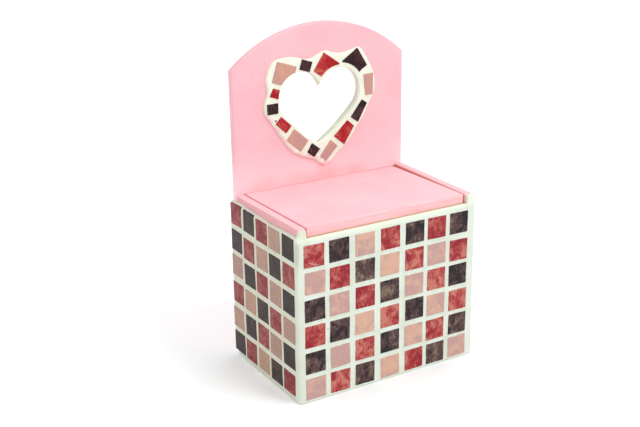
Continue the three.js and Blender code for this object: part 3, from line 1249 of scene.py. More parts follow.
@dataclass
class TileCutter:
    """Makes single tiles with crisp corners and slightly ragged edges."""

    thickness: float = 1.8 * MM
    foot: float = 0.05 * MM
    easing: float = 0.16 * MM
    corner_radius: float = 0.32 * MM
    spacing: float = 0.36 * MM
    ragged: float = 0.07 * MM
    ragged_period: float = 0.8 * MM
    chip: float = 0.22 * MM
    chip_period: float = 2.1 * MM
    chip_level: float = 0.42
    tilt: float = math.radians(0.35)
    ripple_height: float = 0.022 * MM
    ripple_period: float = 3.2 * MM
    face_rings: int = 7

    def cut(self, name: str, plane: Plane, corners: Row, seed: int,
            keep_out: Callable[[Vector], Vector] | None = None) -> Piece:
        """Cuts one tile.

        Args:
            name: The piece's name.
            plane: The wall that it is glued to.
            corners: Its corners, anticlockwise.
            seed: Number that its irregularities start from.
            keep_out: Moves a point of its outline out of the heart window.

        Returns:
            The new tile.
        """
        centre = sum(corners, Vector((0.0, 0.0))) / len(corners)
        tilts = [wobble(seed, whim) for whim in (Whim.LEAN_ACROSS, Whim.LEAN_UP)]
        lean = Vector(tilts) * math.tan(self.tilt)
        outline = []
        for point in rounded_outline(corners, self.corner_radius, self.spacing):
            spot = Vector((point.x, point.y, seed * MM))
            rough = self.ragged * ripple(spot, self.ragged_period, seed)
            chipped = max(0.0, ripple(spot, self.chip_period, seed + 7) - self.chip_level)
            drawn_in = rough + self.chip * chipped / (1 - self.chip_level)
            moved = point + (centre - point).normalized() * drawn_in
            outline.append(keep_out(moved) if keep_out else moved)

        height, period = self.ripple_height, self.ripple_period

        def relief(across: float, up: float) -> float:
            """Tilts the face a little and lets it ripple."""
            spot = Vector((across, up, 5 * seed * MM))
            return lean.dot(spot.xy - centre) + height * ripple(spot, period)

        slab = Slab(
            plane, lambda drawn_in: inset(outline, drawn_in), self.thickness, self.easing,
            self.easing, self.foot, self.face_rings, relief,
        )
        return slab.build(name, (wobble(seed, Whim.GLAZE) + 1) / 2)


@dataclass
class Station:
    """One upright line of the plaster belt.

    Attributes:
        foot: Its place on the wood, at height 0.
        facing: The way out of the wall.
        lift: How far off its foot the wood starts, at a rounded corner.
        along: Its place across the wall, as the wall's grid measures it.
        grid: The wall's tiles, or None at a corner.
        share: 0 on a side, 1 on the front, and between them at a corner.
    """

    foot: Vector
    facing: Vector
    lift: float
    along: float
    grid: Grid | None
    share: float


@dataclass
class PlasterBelt:
    """Plaster between the tiles, in one coat from the left wall round the front to the right."""

    carcass: Carcass
    front: Grid
    sides: dict[int, Grid]
    thickness: float = 1.62 * MM
    joint_dip: float = 0.12 * MM
    joint_reach: float = 1.2 * MM
    bed: float = 0.25 * MM
    pocket: float = 1.0 * MM
    wall_step: float = 0.16 * MM
    joint_step: float = 0.34 * MM
    row_steps: int = 11
    corner_lift: float = 0.3 * MM
    corner_steps: int = 9
    corner_rise: float = 0.6
    top_round: float = 0.6 * MM
    top_round_share: float = 0.6
    top_steps: int = 6
    foot_round: float = 0.4 * MM
    side_top: float = 76.4 * MM
    side_wave: float = 0.6 * MM
    side_waves: float = 0.75
    side_flutter: float = 0.14 * MM
    side_flutters: float = 3.0
    top_cover: float = 0.5 * MM
    cheek_drop: float = 0.5 * MM
    cheek_step: float = 0.1 * MM
    cheek_play: float = 0.55 * MM
    cheek_round: float = 0.4 * MM
    cheek_thinning: float = 0.9 * MM
    thinning_drop: float = 0.5 * MM
    thinning_reach: float = 2.5 * MM
    bare_foot: float = 1.3 * MM
    bare_start: float = 21 * MM
    bare_reach: float = 4 * MM
    bare_height: float = 3.2 * MM
    bare_fade: float = 1.2 * MM
    far_off: float = 1.0
    lumps: float = 0.07 * MM
    lump_period: float = 5.0 * MM
    grit: float = 0.02 * MM
    grit_period: float = 0.9 * MM

    def build(self, dresser: Dresser, material: Material) -> None:
        """Builds and dresses the belt.

        Args:
            dresser: Puts the finish on.
            material: The plaster.
        """
        draft = Draft()
        loops = [draft.row(self._loop(station)) for station in self._stations()]
        for lower, upper in zip(loops, loops[1:]):
            draft.join(lower, upper)
        half = len(loops[0]) // 2
        for loop in (loops[0], loops[-1]):
            draft.join(loop[:half], loop[half:][::-1], closed=False)
        belt = draft.piece("plaster_belt")
        dresser.dress(belt, material, ["front_plaster", "left_mosaic", "right_mosaic"])

    def _knots(self, places: Sequence[float], start: float, end: float, half: float) -> list[float]:
        """Spreads lines over a wall, close together in the joints and few under the tiles.

        Args:
            places: Middle of each tile, rising.
            start: Where the wall starts.
            end: Where it ends.
            half: Half a tile.

        Returns:
            Rising places.
        """
        knots = []
        left = start
        for place in places:
            knots += self._joint(left, place - half + self.pocket)
            knots += [place - half + self.pocket + self.wall_step, place]
            left = place + half - self.pocket
            knots.append(left - self.wall_step)
        return knots + self._joint(left, end) + [end]

    def _joint(self, start: float, end: float) -> list[float]:
        """Divides the stretch between two places evenly, without its end."""
        steps = max(1, math.ceil((end - start) / self.joint_step))
        return [start + (end - start) * step / steps for step in range(steps)]

    def _stations(self) -> list[Station]:
        """Gives every upright line from the left wall's rear end to the right one's.

        Returns:
            The lines.
        """
        case = self.carcass
        turn_x = case.half_width - self.corner_lift
        turn_y = case.wood_front_y + self.corner_lift
        stations = []
        for hand in (-1, 1):
            grid = self.sides[hand]
            line = self._knots(
                sorted(-hand * place for place in grid.across(case.front_height / 2)),
                -case.back_y, -turn_y, grid.half_tile,
            )
            wall = [
                Station(
                    Vector((hand * case.half_width, -ahead, 0)), Vector((hand, 0, 0)), 0.0,
                    -hand * ahead, grid, 0.0,
                )
                for ahead in line
            ]
            corner = []
            for step in range(1, self.corner_steps):
                turn = math.pi / 2 * step / self.corner_steps
                facing = Vector((hand * math.cos(turn), -math.sin(turn), 0))
                foot = Vector((hand * turn_x, turn_y, 0))
                share = smooth(step / self.corner_steps)
                corner.append(Station(foot, facing, self.corner_lift, 0.0, None, share))
            if hand == -1:
                stations += wall + corner + self._front_stations(turn_x)
            else:
                stations += corner[::-1] + wall[::-1]
        return stations

    def _front_stations(self, turn_x: float) -> list[Station]:
        """Gives the upright lines of the front, with close pairs where the cheeks end.

        Args:
            turn_x: Where the rounded corners start.

        Returns:
            The lines, from left to right.
        """
        case = self.carcass
        places = self.front.across(case.front_height / 2)
        knots = self._knots(places, -turn_x, turn_x, self.front.half_tile)
        inner = case.inner_half_width + self.cheek_play
        for hand in (-1, 1):
            knots += [hand * (inner + self.cheek_step), hand * (inner - self.cheek_step)]
            knots.append(hand * (inner + 3 * self.cheek_step))
        return [
            Station(Vector((x, case.wood_front_y, 0)), Vector((0, -1, 0)), 0.0, x, self.front, 1.0)
            for x in sorted(set(knots))
        ]

    def _top(self, station: Station) -> float:
        """Gives the height of the plaster's top edge at a line.

        Args:
            station: The line.

        Returns:
            The height.
        """
        case = self.carcass
        cheek_top = case.left_height - self.cheek_drop
        if station.share == 1.0:
            outwards = abs(station.along) - case.inner_half_width - self.cheek_play
            cheek_end = cheek_top - shoulder(outwards, self.cheek_round)
            return case.front_height if outwards < 0 else cheek_end
        back = (case.back_y - station.foot.y) / (case.back_y - case.wood_front_y)
        wave = self.side_wave * math.cos(math.tau * self.side_waves * back)
        flutters = math.tau * self.side_flutters * back
        flutter = self.side_flutter * math.sin(flutters + station.facing.x)
        side_top = self.side_top + wave + flutter
        if station.grid is not None:
            grid = station.grid
            column = min(grid.across(side_top), key=lambda place: abs(place - station.along))
            tile_top = grid.up(column)[0] + grid.half_tile
            side_top = max(side_top, tile_top + self.top_cover)
        return side_top + (cheek_top - side_top) * smooth(station.share / self.corner_rise)

    def _heights(self, station: Station) -> list[tuple[float, float]]:
        """Gives the heights of a line's points and how far each is from a tile's row.

        Args:
            station: The line.

        Returns:
            Pairs of height and distance, rising; the distance is below 0 inside a row.
        """
        half = self.front.half_tile
        hand = -1 if station.foot.x < 0 else 1
        end = hand * self.far_off
        side = self.sides[hand].up(station.along if station.share == 0.0 else -end)
        front = self.front.up(station.along if station.share == 1.0 else end)
        rows = [
            low + (high - low) * station.share for low, high in zip(reversed(side), reversed(front))
        ]
        top = self._top(station)
        rounding = min(self.top_round, self.top_round_share * (top - rows[-1] - half))
        knots: list[float] = []
        below = 0.0
        steps = self.row_steps
        for row in rows:
            start, end = below, row - half + self.pocket
            knots += [start + (end - start) * step / steps for step in range(steps + 1)]
            knots += [end + self.wall_step, row, row + half - self.pocket - self.wall_step]
            below = row + half - self.pocket
        start, end = below, top - rounding
        knots += [start + (end - start) * step / steps for step in range(steps)]
        knots += [top - rounding * drop for _, drop in quarter(self.top_steps)]
        knots[0] = 0.0
        return [(z, min(abs(z - row) for row in rows) - half) for z in knots]

    def _loop(self, station: Station) -> Row:
        """Gives a line's closed loop: up the outer face and down the wood.

        Args:
            station: The line.

        Returns:
            The loop's points.
        """
        heights = self._heights(station)
        top = heights[-1][0]
        beside = self.joint_reach
        outer = []
        inner = []
        for z, above in heights:
            if station.grid is not None:
                nearest = min(abs(station.along - place) for place in station.grid.across(z))
                beside = nearest - station.grid.half_tile
            flat = Vector((station.foot.x, station.foot.y, z))
            depth = self._depth(station, flat, beside, above, top)
            outer.append(flat + station.facing * (station.lift + depth))
            inner.append(flat + station.facing * station.lift)
        return outer + inner[::-1]

    def _depth(self, station: Station, flat: Vector, beside: float, above: float,
               top: float) -> float:
        """Gives how thick the plaster is at a point.

        Args:
            station: The point's line.
            flat: The point on the wood.
            beside: Distance from the nearest column of tiles, below 0 inside it.
            above: Distance from the nearest row of tiles, below 0 inside it.
            top: Height of the plaster's top edge at the line.

        Returns:
            The thickness.
        """
        case = self.carcass
        outside = station.facing * self.thickness
        spot = flat + outside
        if max(beside, above) <= -self.pocket - 0.5 * self.wall_step:
            return self.bed
        away = math.hypot(max(0.0, beside), max(0.0, above))
        depth = self.thickness - self.joint_dip * smooth(away / self.joint_reach)
        depth += self.lumps * ripple(spot, self.lump_period, 1.0)
        depth += self.grit * ripple(spot, self.grit_period, 5.0)
        depth -= shoulder(top - flat.z, self.top_round)
        depth -= shoulder(flat.z, self.foot_round)
        depth -= shoulder(case.back_y - flat.y, self.foot_round)
        above_front = flat.z - case.front_height + self.thinning_drop
        thinned = smooth(above_front / self.thinning_reach)
        depth -= self.cheek_thinning * thinned * abs(station.facing.x)
        at_rear = smooth((flat.y - self.bare_start) / self.bare_reach)
        depth -= self.bare_foot * at_rear * smooth((self.bare_height - flat.z) / self.bare_fade)
        if station.share == 1.0 and flat.z > case.front_height:
            outwards = abs(station.along) - case.inner_half_width - self.cheek_play
            depth -= shoulder(outwards, self.foot_round)
        return max(self.bed, depth)


@dataclass(frozen=True)
class CutTile:
    """A tile of the heart, as it was nipped to fit. It is given in millimetres and degrees."""

    glaze: Glaze
    x: float
    z: float
    wide: float
    tall: float
    turn: float
    taper: float = 1.0
    gap: float = 0.3

    @cached_property
    def corners(self) -> Row:
        """Gives its corners in metres, before the window cuts into it.

        Returns:
            Four corners, anticlockwise.
        """
        lower = self.wide / (1 + self.taper)
        upper = lower * self.taper
        half = self.tall / 2
        spin = Matrix.Rotation(math.radians(self.turn), 2)
        offsets = ((-lower, -half), (lower, -half), (upper, half), (-upper, half))
        return [(Vector((self.x, self.z)) + spin @ Vector(offset)) * MM for offset in offsets]


@dataclass
class HeartMosaic:
    """Plaster and cut tiles round the heart window, and the lining through it."""

    carcass: Carcass
    heart: HeartShape
    thickness: float = 1.5 * MM
    rim_radius: float = 0.6 * MM
    rear: HeartShape = field(default_factory=lambda: HeartShape(
        x=0.15 * MM, lobe_radius=10.65 * MM, lobe_offset=10.41 * MM,
        tip=Vector((-1.6, 97.0)) * MM, bow=Vector((9.3, 103.8)) * MM,
    ))
    lining_growth: float = 1.28 * MM
    shoulder_width: float = 1.3 * MM
    joint_dip: float = 0.12 * MM
    joint_reach: float = 1.5 * MM
    pocket: float = 0.6 * MM
    bed: float = 0.25 * MM
    seat: float = 0.01 * MM
    rays: int = 380
    ring_steps: int = 22
    wall_steps: int = 7
    straight_start: float = math.radians(125)
    straight_fade_in: float = math.radians(30)
    straight_end: float = math.radians(266)
    straight_fade_out: float = math.radians(12)
    lumps: float = 0.09 * MM
    lump_period: float = 4.0 * MM
    seed: int = 900

    # The plaster's outer edge, clockwise: place across and height, in millimetres.
    EDGE = (
        (-22.8, 138.8), (-17.2, 139.4), (-13.0, 138.7), (-8.6, 137.6), (-4.5, 138.0),
        (-0.7, 139.7), (2.1, 140.4), (5.9, 139.2), (10.1, 138.5), (15.1, 139.2), (19.6, 140.3),
        (21.6, 139.2), (23.9, 136.0), (26.8, 130.8), (28.7, 125.8), (29.0, 121.6), (28.2, 117.6),
        (25.4, 112.6), (22.3, 106.9), (19.4, 103.5), (16.7, 99.4), (13.0, 95.3), (8.6, 92.0),
        (3.7, 87.9), (0.2, 86.7), (-4.7, 90.0), (-8.2, 91.3), (-12.4, 93.0), (-16.4, 95.6),
        (-19.8, 99.7), (-21.9, 103.0), (-24.5, 106.8), (-26.8, 110.4), (-29.0, 113.4),
        (-30.2, 116.4), (-29.9, 120.1), (-28.7, 122.6), (-28.4, 126.1), (-28.9, 129.3),
        (-28.5, 132.0), (-26.9, 135.6), (-25.3, 137.7),
    )

    TILES = (
        CutTile(Glaze.PINK, -20.0, 131.9, 10.4, 9.6, -18, gap=0.5),
        CutTile(Glaze.BLACK, -8.8, 134.7, 5.6, 4.8, -18),
        CutTile(Glaze.RED, 2.1, 132.8, 10.3, 9.8, -35, gap=1.3),
        CutTile(Glaze.BLACK, 17.2, 133.1, 9.9, 10.0, 32, gap=2.2),
        CutTile(Glaze.PINK, 24.9, 122.3, 4.8, 10.0, 2, taper=1.3),
        CutTile(Glaze.BLACK, 19.7, 110.5, 4.2, 9.9, -35, taper=0.7),
        CutTile(Glaze.RED, 11.6, 101.4, 6.1, 9.9, -41, taper=0.65),
        CutTile(Glaze.PINK, 2.5, 93.6, 4.7, 9.0, -42, taper=1.2),
        CutTile(Glaze.BLACK, -5.7, 95.0, 5.0, 4.8, -38, taper=1.2),
        CutTile(Glaze.PINK, -14.0, 100.9, 9.7, 6.4, -41),
        CutTile(Glaze.RED, -21.0, 109.1, 7.2, 4.3, -43),
        CutTile(Glaze.BLACK, -26.3, 117.1, 5.6, 4.8, 1, taper=1.05),
        CutTile(Glaze.RED, -24.8, 123.9, 4.2, 4.1, -20, taper=0.75),
    )

    def build(self, dresser: Dresser, cutter: TileCutter, material: Material) -> None:
        """Builds and dresses the plaster and its tiles.

        Args:
            dresser: Puts the finishes on.
            cutter: Cuts the tiles.
            material: The plaster.
        """
        plane = self.carcass.upright(self.carcass.back_front_y)
        dresser.dress(self._plaster(plane), material, ["heart_mosaic"])
        for number, tile in enumerate(self.TILES, start=1):
            piece = cutter.cut(
                f"tile_heart_{number}", plane, tile.corners, self.seed + number,
                lambda point, gap=tile.gap * MM: self._keep_out(point, gap),
            )
            glaze = dresser.glaze(HEART_GLAZES[tile.glaze])
            dresser.dress(piece, glaze, ["heart_mosaic"])

    def _rim(self, point: Vector, gap: float) -> Vector:
        """Gives the place on the window's rim, grown by a gap, in a point's direction."""
        away = point - self.heart.middle()
        return self.heart.ring([math.atan2(away.y, away.x)], gap)[0]

    def _clearance(self, point: Vector, gap: float) -> float:
        """Gives how far a point is outside the grown window; it is below 0 inside."""
        middle = self.heart.middle()
        return (point - middle).length - (self._rim(point, gap) - middle).length

    def _keep_out(self, point: Vector, gap: float) -> Vector:
        """Moves a point that lies in the grown window straight out to its rim."""
        return point if self._clearance(point, gap) >= 0 else self._rim(point, gap)

    def _edge(self) -> Row:
        """Draws the plaster's outer edge as a smooth closed curve.

        Returns:
            Its points, anticlockwise.
        """
        points = [Vector(pair) * MM for pair in reversed(self.EDGE)]
        steps = 14
        count = len(points)
        curve = []
        for index in range(count):
            before, start = points[index - 1], points[index]
            end, after = points[(index + 1) % count], points[(index + 2) % count]
            for step in range(steps):
                t = step / steps
                curve.append(0.5 * (
                    2 * start + (end - before) * t
                    + (2 * before - 5 * start + 4 * end - after) * t ** 2
                    + (3 * start - before - 3 * end + after) * t ** 3
                ))
        return curve

    def _plaster(self, plane: Plane) -> Piece:
        """Builds the ring of plaster and the lining through the board.

        Args:
            plane: The back board's front face.

        Returns:
            The new piece.
        """
        angles = self.heart.angles(self.rays)
        middle = self.heart.middle()
        edge = self._edge()
        rows: list[Row] = []
        outer = meet_rays(edge, middle, angles)
        rows.append([plane.at(point, self.seat) for point in outer])
        shoulder_steps = 6
        for inward, drop in quarter(shoulder_steps)[1:]:
            ring = meet_rays(inset(edge, self.shoulder_width * inward), middle, angles)
            rows.append([plane.at(p, (1 - drop) * self._depth(p)) for p in ring])
        rim = self.heart.ring(angles, self.rim_radius)
        for step in range(1, self.ring_steps + 1):
            share = step / self.ring_steps
            points = [a.lerp(b, share) for a, b in zip(ring, rim)]
            rows.append([plane.at(p, self._depth(p)) for p in points])
        rim_steps = 4
        for drop, grow in quarter(rim_steps)[1:]:
            points = self.heart.ring(angles, self.rim_radius * grow)
            lower = self.rim_radius * drop
            rows.append([plane.at(p, self._depth(p) - lower) for p in points])
        depth = -self.carcass.board
        window = self.heart.ring(angles, 0.0)
        narrower = meet_rays(self.rear.outline(), middle, angles)
        rear = [a.lerp(b, self._leaning(t)) for a, b, t in zip(window, narrower, angles)]
        for step in range(1, self.wall_steps + 1):
            share = step / self.wall_steps
            height = (self.thickness - self.rim_radius) * (1 - share) + depth * share
            wall = [a.lerp(b, share) for a, b in zip(window, rear)]
            rows.append([plane.at(p, height) for p in self._uneven(wall, share)])
        lining = self.heart.ring(angles, self.lining_growth)
        rows.append([plane.at(p, depth) for p in lining])
        rows.append([plane.at(p, self.seat) for p in lining])
        draft = Draft()
        draft.loft(rows, round_trip=True)
        return draft.piece("plaster_heart")

    def _leaning(self, angle: float) -> float:
        """Gives how far the window's wall leans to the rear outline; it is straight on the left."""
        straight = smooth((angle - self.straight_start) / self.straight_fade_in)
        return 1 - straight * smooth((self.straight_end - angle) / self.straight_fade_out)

    def _uneven(self, window: Row, share: float) -> Row:
        """Lets the window's wall bulge a little, as plaster smoothed with a finger does.

        Args:
            window: A ring of the wall.
            share: How far through the board the ring is, from 0 to 1.

        Returns:
            The moved ring.
        """
        bulge = 0.5 * self.lumps * math.sin(math.pi * share)
        moved = []
        for point in window:
            spot = Vector((point.x, point.y, share * self.carcass.board))
            swell = bulge * ripple(spot, self.lump_period, 2.0)
            moved.append(point + (point - self.heart.middle()).normalized() * swell)
        return moved

    def _depth(self, point: Vector) -> float:
        """Gives how thick the plaster is at a point of the ring.

        Args:
            point: Distances across and up the board.

        Returns:
            The thickness.
        """
        away = min(self._outside(point, tile) for tile in self.TILES)
        if away < -self.pocket:
            return self.bed
        spot = Vector((point.x, point.y, 0.0))
        lump = self.lumps * ripple(spot, self.lump_period, 4.0)
        return self.thickness - self.joint_dip * smooth(away / self.joint_reach) + lump

    def _outside(self, point: Vector, tile: CutTile) -> float:
        """Gives how far a point is outside a tile; it is below 0 inside.

        Args:
            point: Distances across and up the board.
            tile: The tile.

        Returns:
            The distance.
        """
        corners = tile.corners
        farthest = -1.0
        for start, end in zip(corners, corners[1:] + corners[:1]):
            side = (end - start).normalized()
            away = point - start
            farthest = max(farthest, away.x * side.y - away.y * side.x)
        if farthest < 0.0:
            farthest = max(farthest, -self._clearance(point, tile.gap * MM))
        return farthest


@dataclass
class WallMosaic:
    """Tiles and plaster of the front and both sides."""

    carcass: Carcass
    slip_rows: int = 2
    slip_column: int = 5
    sag: float = 0.8 * MM
    sag_start: float = 14 * MM
    sag_reach: float = 24 * MM
    sag_rows: Span = (6 * MM, 68 * MM)
    sag_fade: float = 10 * MM
    rise: float = 1.2 * MM
    rise_foot: float = 25 * MM
    rise_fade: float = 20 * MM
    rise_ends: Span = (-18.2 * MM, -7.0 * MM)
    rise_widths: Span = (1.6 * MM, 10.2 * MM)
    top_row_foot: float = 60 * MM
    top_row_fade: float = 8 * MM

    def front_grid(self) -> Grid:
        """Gives the places of the front's tiles.

        Returns:
            The places.
        """
        return Grid(
            columns=7, rows=6, first=Vector((-38.5, 67.5)) * MM, pitch=Vector((12.65, 12.2)) * MM,
            row_starts=(0, 2, 1, 0, 1, 2), order=(Glaze.RED, Glaze.BLACK, Glaze.PINK), seed=0,
            column_shift=(0.0, -0.3, -0.2, 0.3, 0.7, 0.1, -0.2), lift=self._front_sag,
        )

    def side_grid(self, hand: int) -> Grid:
        """Gives the places of a side's tiles, with its first column at the back.

        Args:
            hand: -1 for the left side and 1 for the right one.

        Returns:
            The places, as they are seen from outside.
        """
        return Grid(
            columns=5, rows=6, first=Vector((hand * 24.8, 70.2)) * MM,
            pitch=Vector((-hand * 11.8, 12.48)) * MM, row_starts=(1, 2, 1, 0, 1, 2),
            order=(Glaze.RED, Glaze.PINK, Glaze.BLACK), seed=50 * (hand + 2), lean=0.02,
            lift=self._left_rise if hand == -1 else lambda across, up: 0.0,
        )

    def _front_sag(self, across: float, up: float) -> float:
        """Lets the middle rows sag towards their right ends.

        Args:
            across: Place across the front.
            up: Height on it.

        Returns:
            The lift, below 0 where a row sags.
        """
        low, high = self.sag_rows
        inner_rows = smooth((up - low) / self.sag_fade) * smooth((high - up) / self.sag_fade)
        return -self.sag * smooth((across - self.sag_start) / self.sag_reach) * inner_rows

    def _left_rise(self, across: float, up: float) -> float:
        """Lets the upper rows rise at the rear of the left side, the top one over a longer way.

        Args:
            across: Place across the left side.
            up: Height on it.

        Returns:
            The lift.
        """
        top_row = smooth((up - self.top_row_foot) / self.top_row_fade)
        end, width = (
            low + (high - low) * top_row for low, high in (self.rise_ends, self.rise_widths)
        )
        rear = smooth((end - across) / width)
        return self.rise * rear * smooth((up - self.rise_foot) / self.rise_fade)

    def _slip(self, side: str, row: int, column: int) -> int:
        """Gives how far a tile's colour is off its row's order.

        Args:
            side: The wall: front, left or right.
            row: The tile's row, from the top.
            column: The tile's column.

        Returns:
            The number of places.
        """
        if side == "front":
            return 1 if row < self.slip_rows and column >= self.slip_column else 0
        return -1 if (side, row, column) == ("left", 0, 0) else 0

    def _lay(self, side: str, grid: Grid, plane: Plane, dresser: Dresser,
             cutter: TileCutter) -> None:
        """Builds and dresses the tiles of one wall.

        Args:
            side: The wall: front, left or right.
            grid: The places of its tiles.
            plane: The wall's outer face.
            dresser: Puts the finishes on.
            cutter: Cuts the tiles.
        """
        for row in range(grid.rows):
            for column in range(grid.columns):
                place = f"{row + 1}_{column + 1}"
                glaze = grid.glaze(row, column, self._slip(side, row, column))
                piece = cutter.cut(
                    f"tile_{side}_{place}", plane, grid.corners(row, column),
                    grid.number(row, column),
                )
                node = f"front_tile_row{place}" if side == "front" else f"{side}_mosaic"
                dresser.dress(piece, dresser.glaze(WALL_GLAZES[glaze]), [node])

    def build(self, dresser: Dresser, cutter: TileCutter, material: Material) -> None:
        """Builds and dresses the tiles of three walls and the belt of plaster.

        Args:
            dresser: Puts the finishes on.
            cutter: Cuts the tiles.
            material: The plaster.
        """
        front = self.front_grid()
        sides = {hand: self.side_grid(hand) for hand in (-1, 1)}
        PlasterBelt(self.carcass, front, sides).build(dresser, material)
        face = self.carcass.upright(self.carcass.wood_front_y)
        self._lay("front", front, face, dresser, cutter)
        for hand, side in ((-1, "left"), (1, "right")):
            plane = self.carcass.side(hand, self.carcass.half_width)
            self._lay(side, sides[hand], plane, dresser, cutter)


@dataclass
class Studio:
    """Pale floor, soft light and the camera."""

    floor_half: float = 3.0
    floor_colour: Colour = (0.89, 0.9, 0.905, 1.0)
    sheen: Colour = (0.96, 0.99, 0.99, 1.0)
    sky: float = 0.7
    camera_place: Vector = field(default_factory=lambda: Vector((-243.84, -379.35, 224.31)) * MM)
    camera_turn: float = math.radians(30.834)
    camera_drop: float = math.radians(18.865)
    camera_roll: float = math.radians(-0.94)
    focal_length: float = 59.13
    sensor: float = 36.0
    clip_start: float = 0.01

    # Each light: name, direction from the box, angle that it fills in degrees, and strength.
    LIGHTS = (
        ("key_light", (0.42, -0.62, 0.62), 34, 1.26),
        ("overhead_light", (0.1, 0.1, 1.0), 90, 1.02),
        ("fill_light", (-0.75, -0.4, 0.7), 70, 0.5),
    )

    def build(self) -> None:
        """Sets up the whole studio."""
        self._floor()
        self._light()
        self._camera()
        bpy.context.scene.view_settings.view_transform = "Standard"
        log.info("studio: floor, lights and camera")

    def _floor(self) -> None:
        """Lays the floor."""
        half = self.floor_half
        mesh = bpy.data.meshes.new("studio_floor")
        corners = [(-half, -half, 0), (half, -half, 0), (half, half, 0), (-half, half, 0)]
        mesh.from_pydata(corners, [], [(0, 1, 2, 3)])
        floor = bpy.data.objects.new("studio_floor", mesh)
        bpy.context.scene.collection.objects.link(floor)
        bench = Bench("studio_paper")
        tooth = bench.grain(bench.place, 1.2, 2.0)
        colour = bench.mix(bench.between(tooth, *SWING, 0.0, 0.04), self.floor_colour, self.sheen)
        rough = bench.between(tooth, *SWING, 0.9, 1.0)
        mesh.materials.append(bench.finish(colour, rough, bench.bump(tooth, 0.01)))

    def _light(self) -> None:
        """Sets an even pale surround and three soft lights."""
        world = bpy.data.worlds.new("studio_surround")
        world.use_nodes = True
        background = world.node_tree.nodes["Background"]
        background.inputs["Color"].default_value = (1.0, 1.0, 1.0, 1.0)
        background.inputs["Strength"].default_value = self.sky
        bpy.context.scene.world = world
        for name, towards, spread, strength in self.LIGHTS:
            self._lamp(name, Vector(towards), math.radians(spread), strength)

    def _lamp(self, name: str, towards: Vector, spread: float, strength: float) -> None:
        """Sets a broad far-off light.

        Args:
            name: Its name.
            towards: Direction from the box to the light.
            spread: Angle that it fills in the sky.
            strength: Its strength in watts per square metre.
        """
        lamp = bpy.data.lights.new(name, "SUN")
        lamp.angle = spread
        lamp.energy = strength
        holder = bpy.data.objects.new(name, lamp)
        holder.location = towards
        holder.rotation_euler = towards.to_track_quat("Z", "Y").to_euler()
        bpy.context.scene.collection.objects.link(holder)

    def _camera(self) -> None:
        """Sets the camera where the photograph was taken from."""
        lens = bpy.data.cameras.new("camera")
        lens.lens = self.focal_length
        lens.sensor_width = self.sensor
        lens.sensor_fit = "HORIZONTAL"
        lens.clip_start = self.clip_start
        camera = bpy.data.objects.new("camera", lens)
        upright = Matrix.Rotation(math.pi / 2 - self.camera_drop, 4, "X")
        turned = Matrix.Rotation(-self.camera_turn, 4, "Z") @ upright
        rolled = turned @ Matrix.Rotation(self.camera_roll, 4, "Z")
        camera.matrix_world = Matrix.Translation(self.camera_place) @ rolled
        bpy.context.scene.collection.objects.link(camera)
        bpy.context.scene.camera = camera


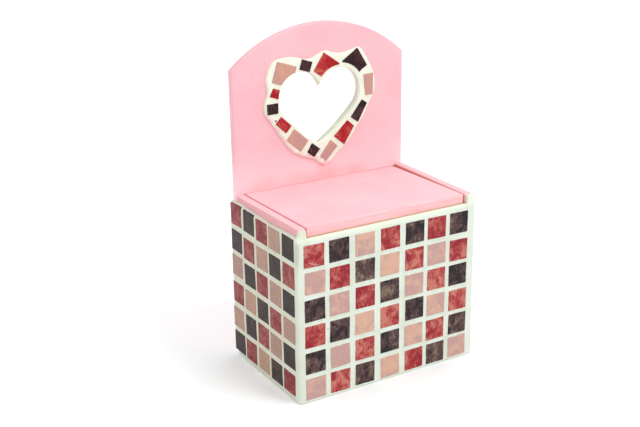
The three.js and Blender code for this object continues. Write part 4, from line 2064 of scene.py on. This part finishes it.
def plaster_marks() -> tuple[Mark, ...]:
    """Gives the marks on the walls' plaster: a painted warm shade over the left side, the bright
    upper band, the thin plaster on the cheek ends, a painted shade at the front's left corner, and
    specks.

    Returns:
        The marks, in the order that they are laid on.
    """
    return (
        # A painted warm shade over the left side, the bright upper band and the thin plaster on the
        # cheek ends.
        Mark((-47.2, 0.0, 38.0), (1.9, 50.0, 90.0), srgb(202, 196, 174), 0.55),
        Mark((0.0, -30.0, 75.8), (90.0, 3.0, 3.4), srgb(224, 231, 211), 0.7),
        Mark((-43.3, -29.5, 78.2), (2.9, 3.0, 4.6), srgb(206, 204, 172), 0.5),
        Mark((44.3, -29.5, 79.2), (3.4, 3.0, 3.6), srgb(226, 226, 196), 0.5),
        # A painted shade at the front's left corner, near the top.
        Mark((-46.3, -29.2, 69.0), (1.5, 1.9, 6.5), srgb(176, 176, 162), 0.6),
        # Specks of glaze and paint.
        Mark((-45.7, -30.0, 19.0), (0.5, 1.5, 0.4), srgb(222, 170, 160), 0.7),
        Mark((-47.0, 3.6, 1.4), (1.5, 1.0, 0.7), srgb(150, 170, 190)),
        Mark((-32.3, -30.0, 32.6), (0.45, 1.5, 0.45), srgb(70, 60, 60)),
        Mark((-47.0, 21.4, 1.6), (1.5, 2.2, 0.8), srgb(226, 160, 160), 0.6),
    )


def heart_marks() -> tuple[Mark, ...]:
    """Gives the painted shade in the lining, the pinhole and the smears of paint on the heart's
    plaster.

    Returns:
        The marks, in the order that they are laid on.
    """
    smear = srgb(240, 186, 194)
    lower_rim = (
        (-28.0, 112.0), (-25.0, 106.5), (-21.5, 101.5), (-18.0, 97.0), (-13.5, 93.6),
        (-9.0, 91.8), (-4.5, 90.6), (0.5, 87.6),
    )
    smears = tuple(Mark((x, 24.9, z), (3.4, 4.0, 2.4), smear, 0.55) for x, z in lower_rim)
    specks = tuple(
        Mark((x, 24.7, z), (0.8, 2.0, 0.4), srgb(226, 130, 156), 0.8)
        for x, z in ((-7.4, 93.0), (-5.2, 92.2), (-1.6, 90.6), (0.6, 88.6))
    )
    return (
        # The painted shade in the lining, its yellowed notch, and the pinhole.
        Mark((0.0, 31.0, 115.0), (90.0, 6.0, 90.0), srgb(196, 192, 172), 0.75),
        Mark((-0.2, 28.5, 124.4), (2.4, 4.0, 2.2), srgb(228, 216, 166), 0.85),
        Mark((-24.9, 24.7, 111.4), (0.75, 1.5, 0.75), srgb(84, 62, 52), 1.0),
    ) + smears + specks


def write_sizes() -> None:
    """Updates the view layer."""
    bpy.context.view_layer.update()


def main() -> None:
    """Builds the box's looks piece by piece, then the studio."""
    logging.basicConfig(level=logging.INFO, format="%(name)s: %(message)s")
    carcass = Carcass.from_frame()
    heart = HeartShape()
    dresser = Dresser()
    cutter = TileCutter()
    Boards(carcass, heart).build(dresser)
    wall_plaster = PlasterFinish("plaster_walls", marks=plaster_marks()).material()
    WallMosaic(carcass).build(dresser, cutter, wall_plaster)
    heart_plaster = PlasterFinish(
        "plaster_heart", main=srgb(226, 230, 214), shade=srgb(212, 214, 196), marks=heart_marks(),
    ).material()
    HeartMosaic(carcass, heart).build(dresser, cutter, heart_plaster)
    Studio().build()
    write_sizes()


if __name__ == "__main__":
    main()
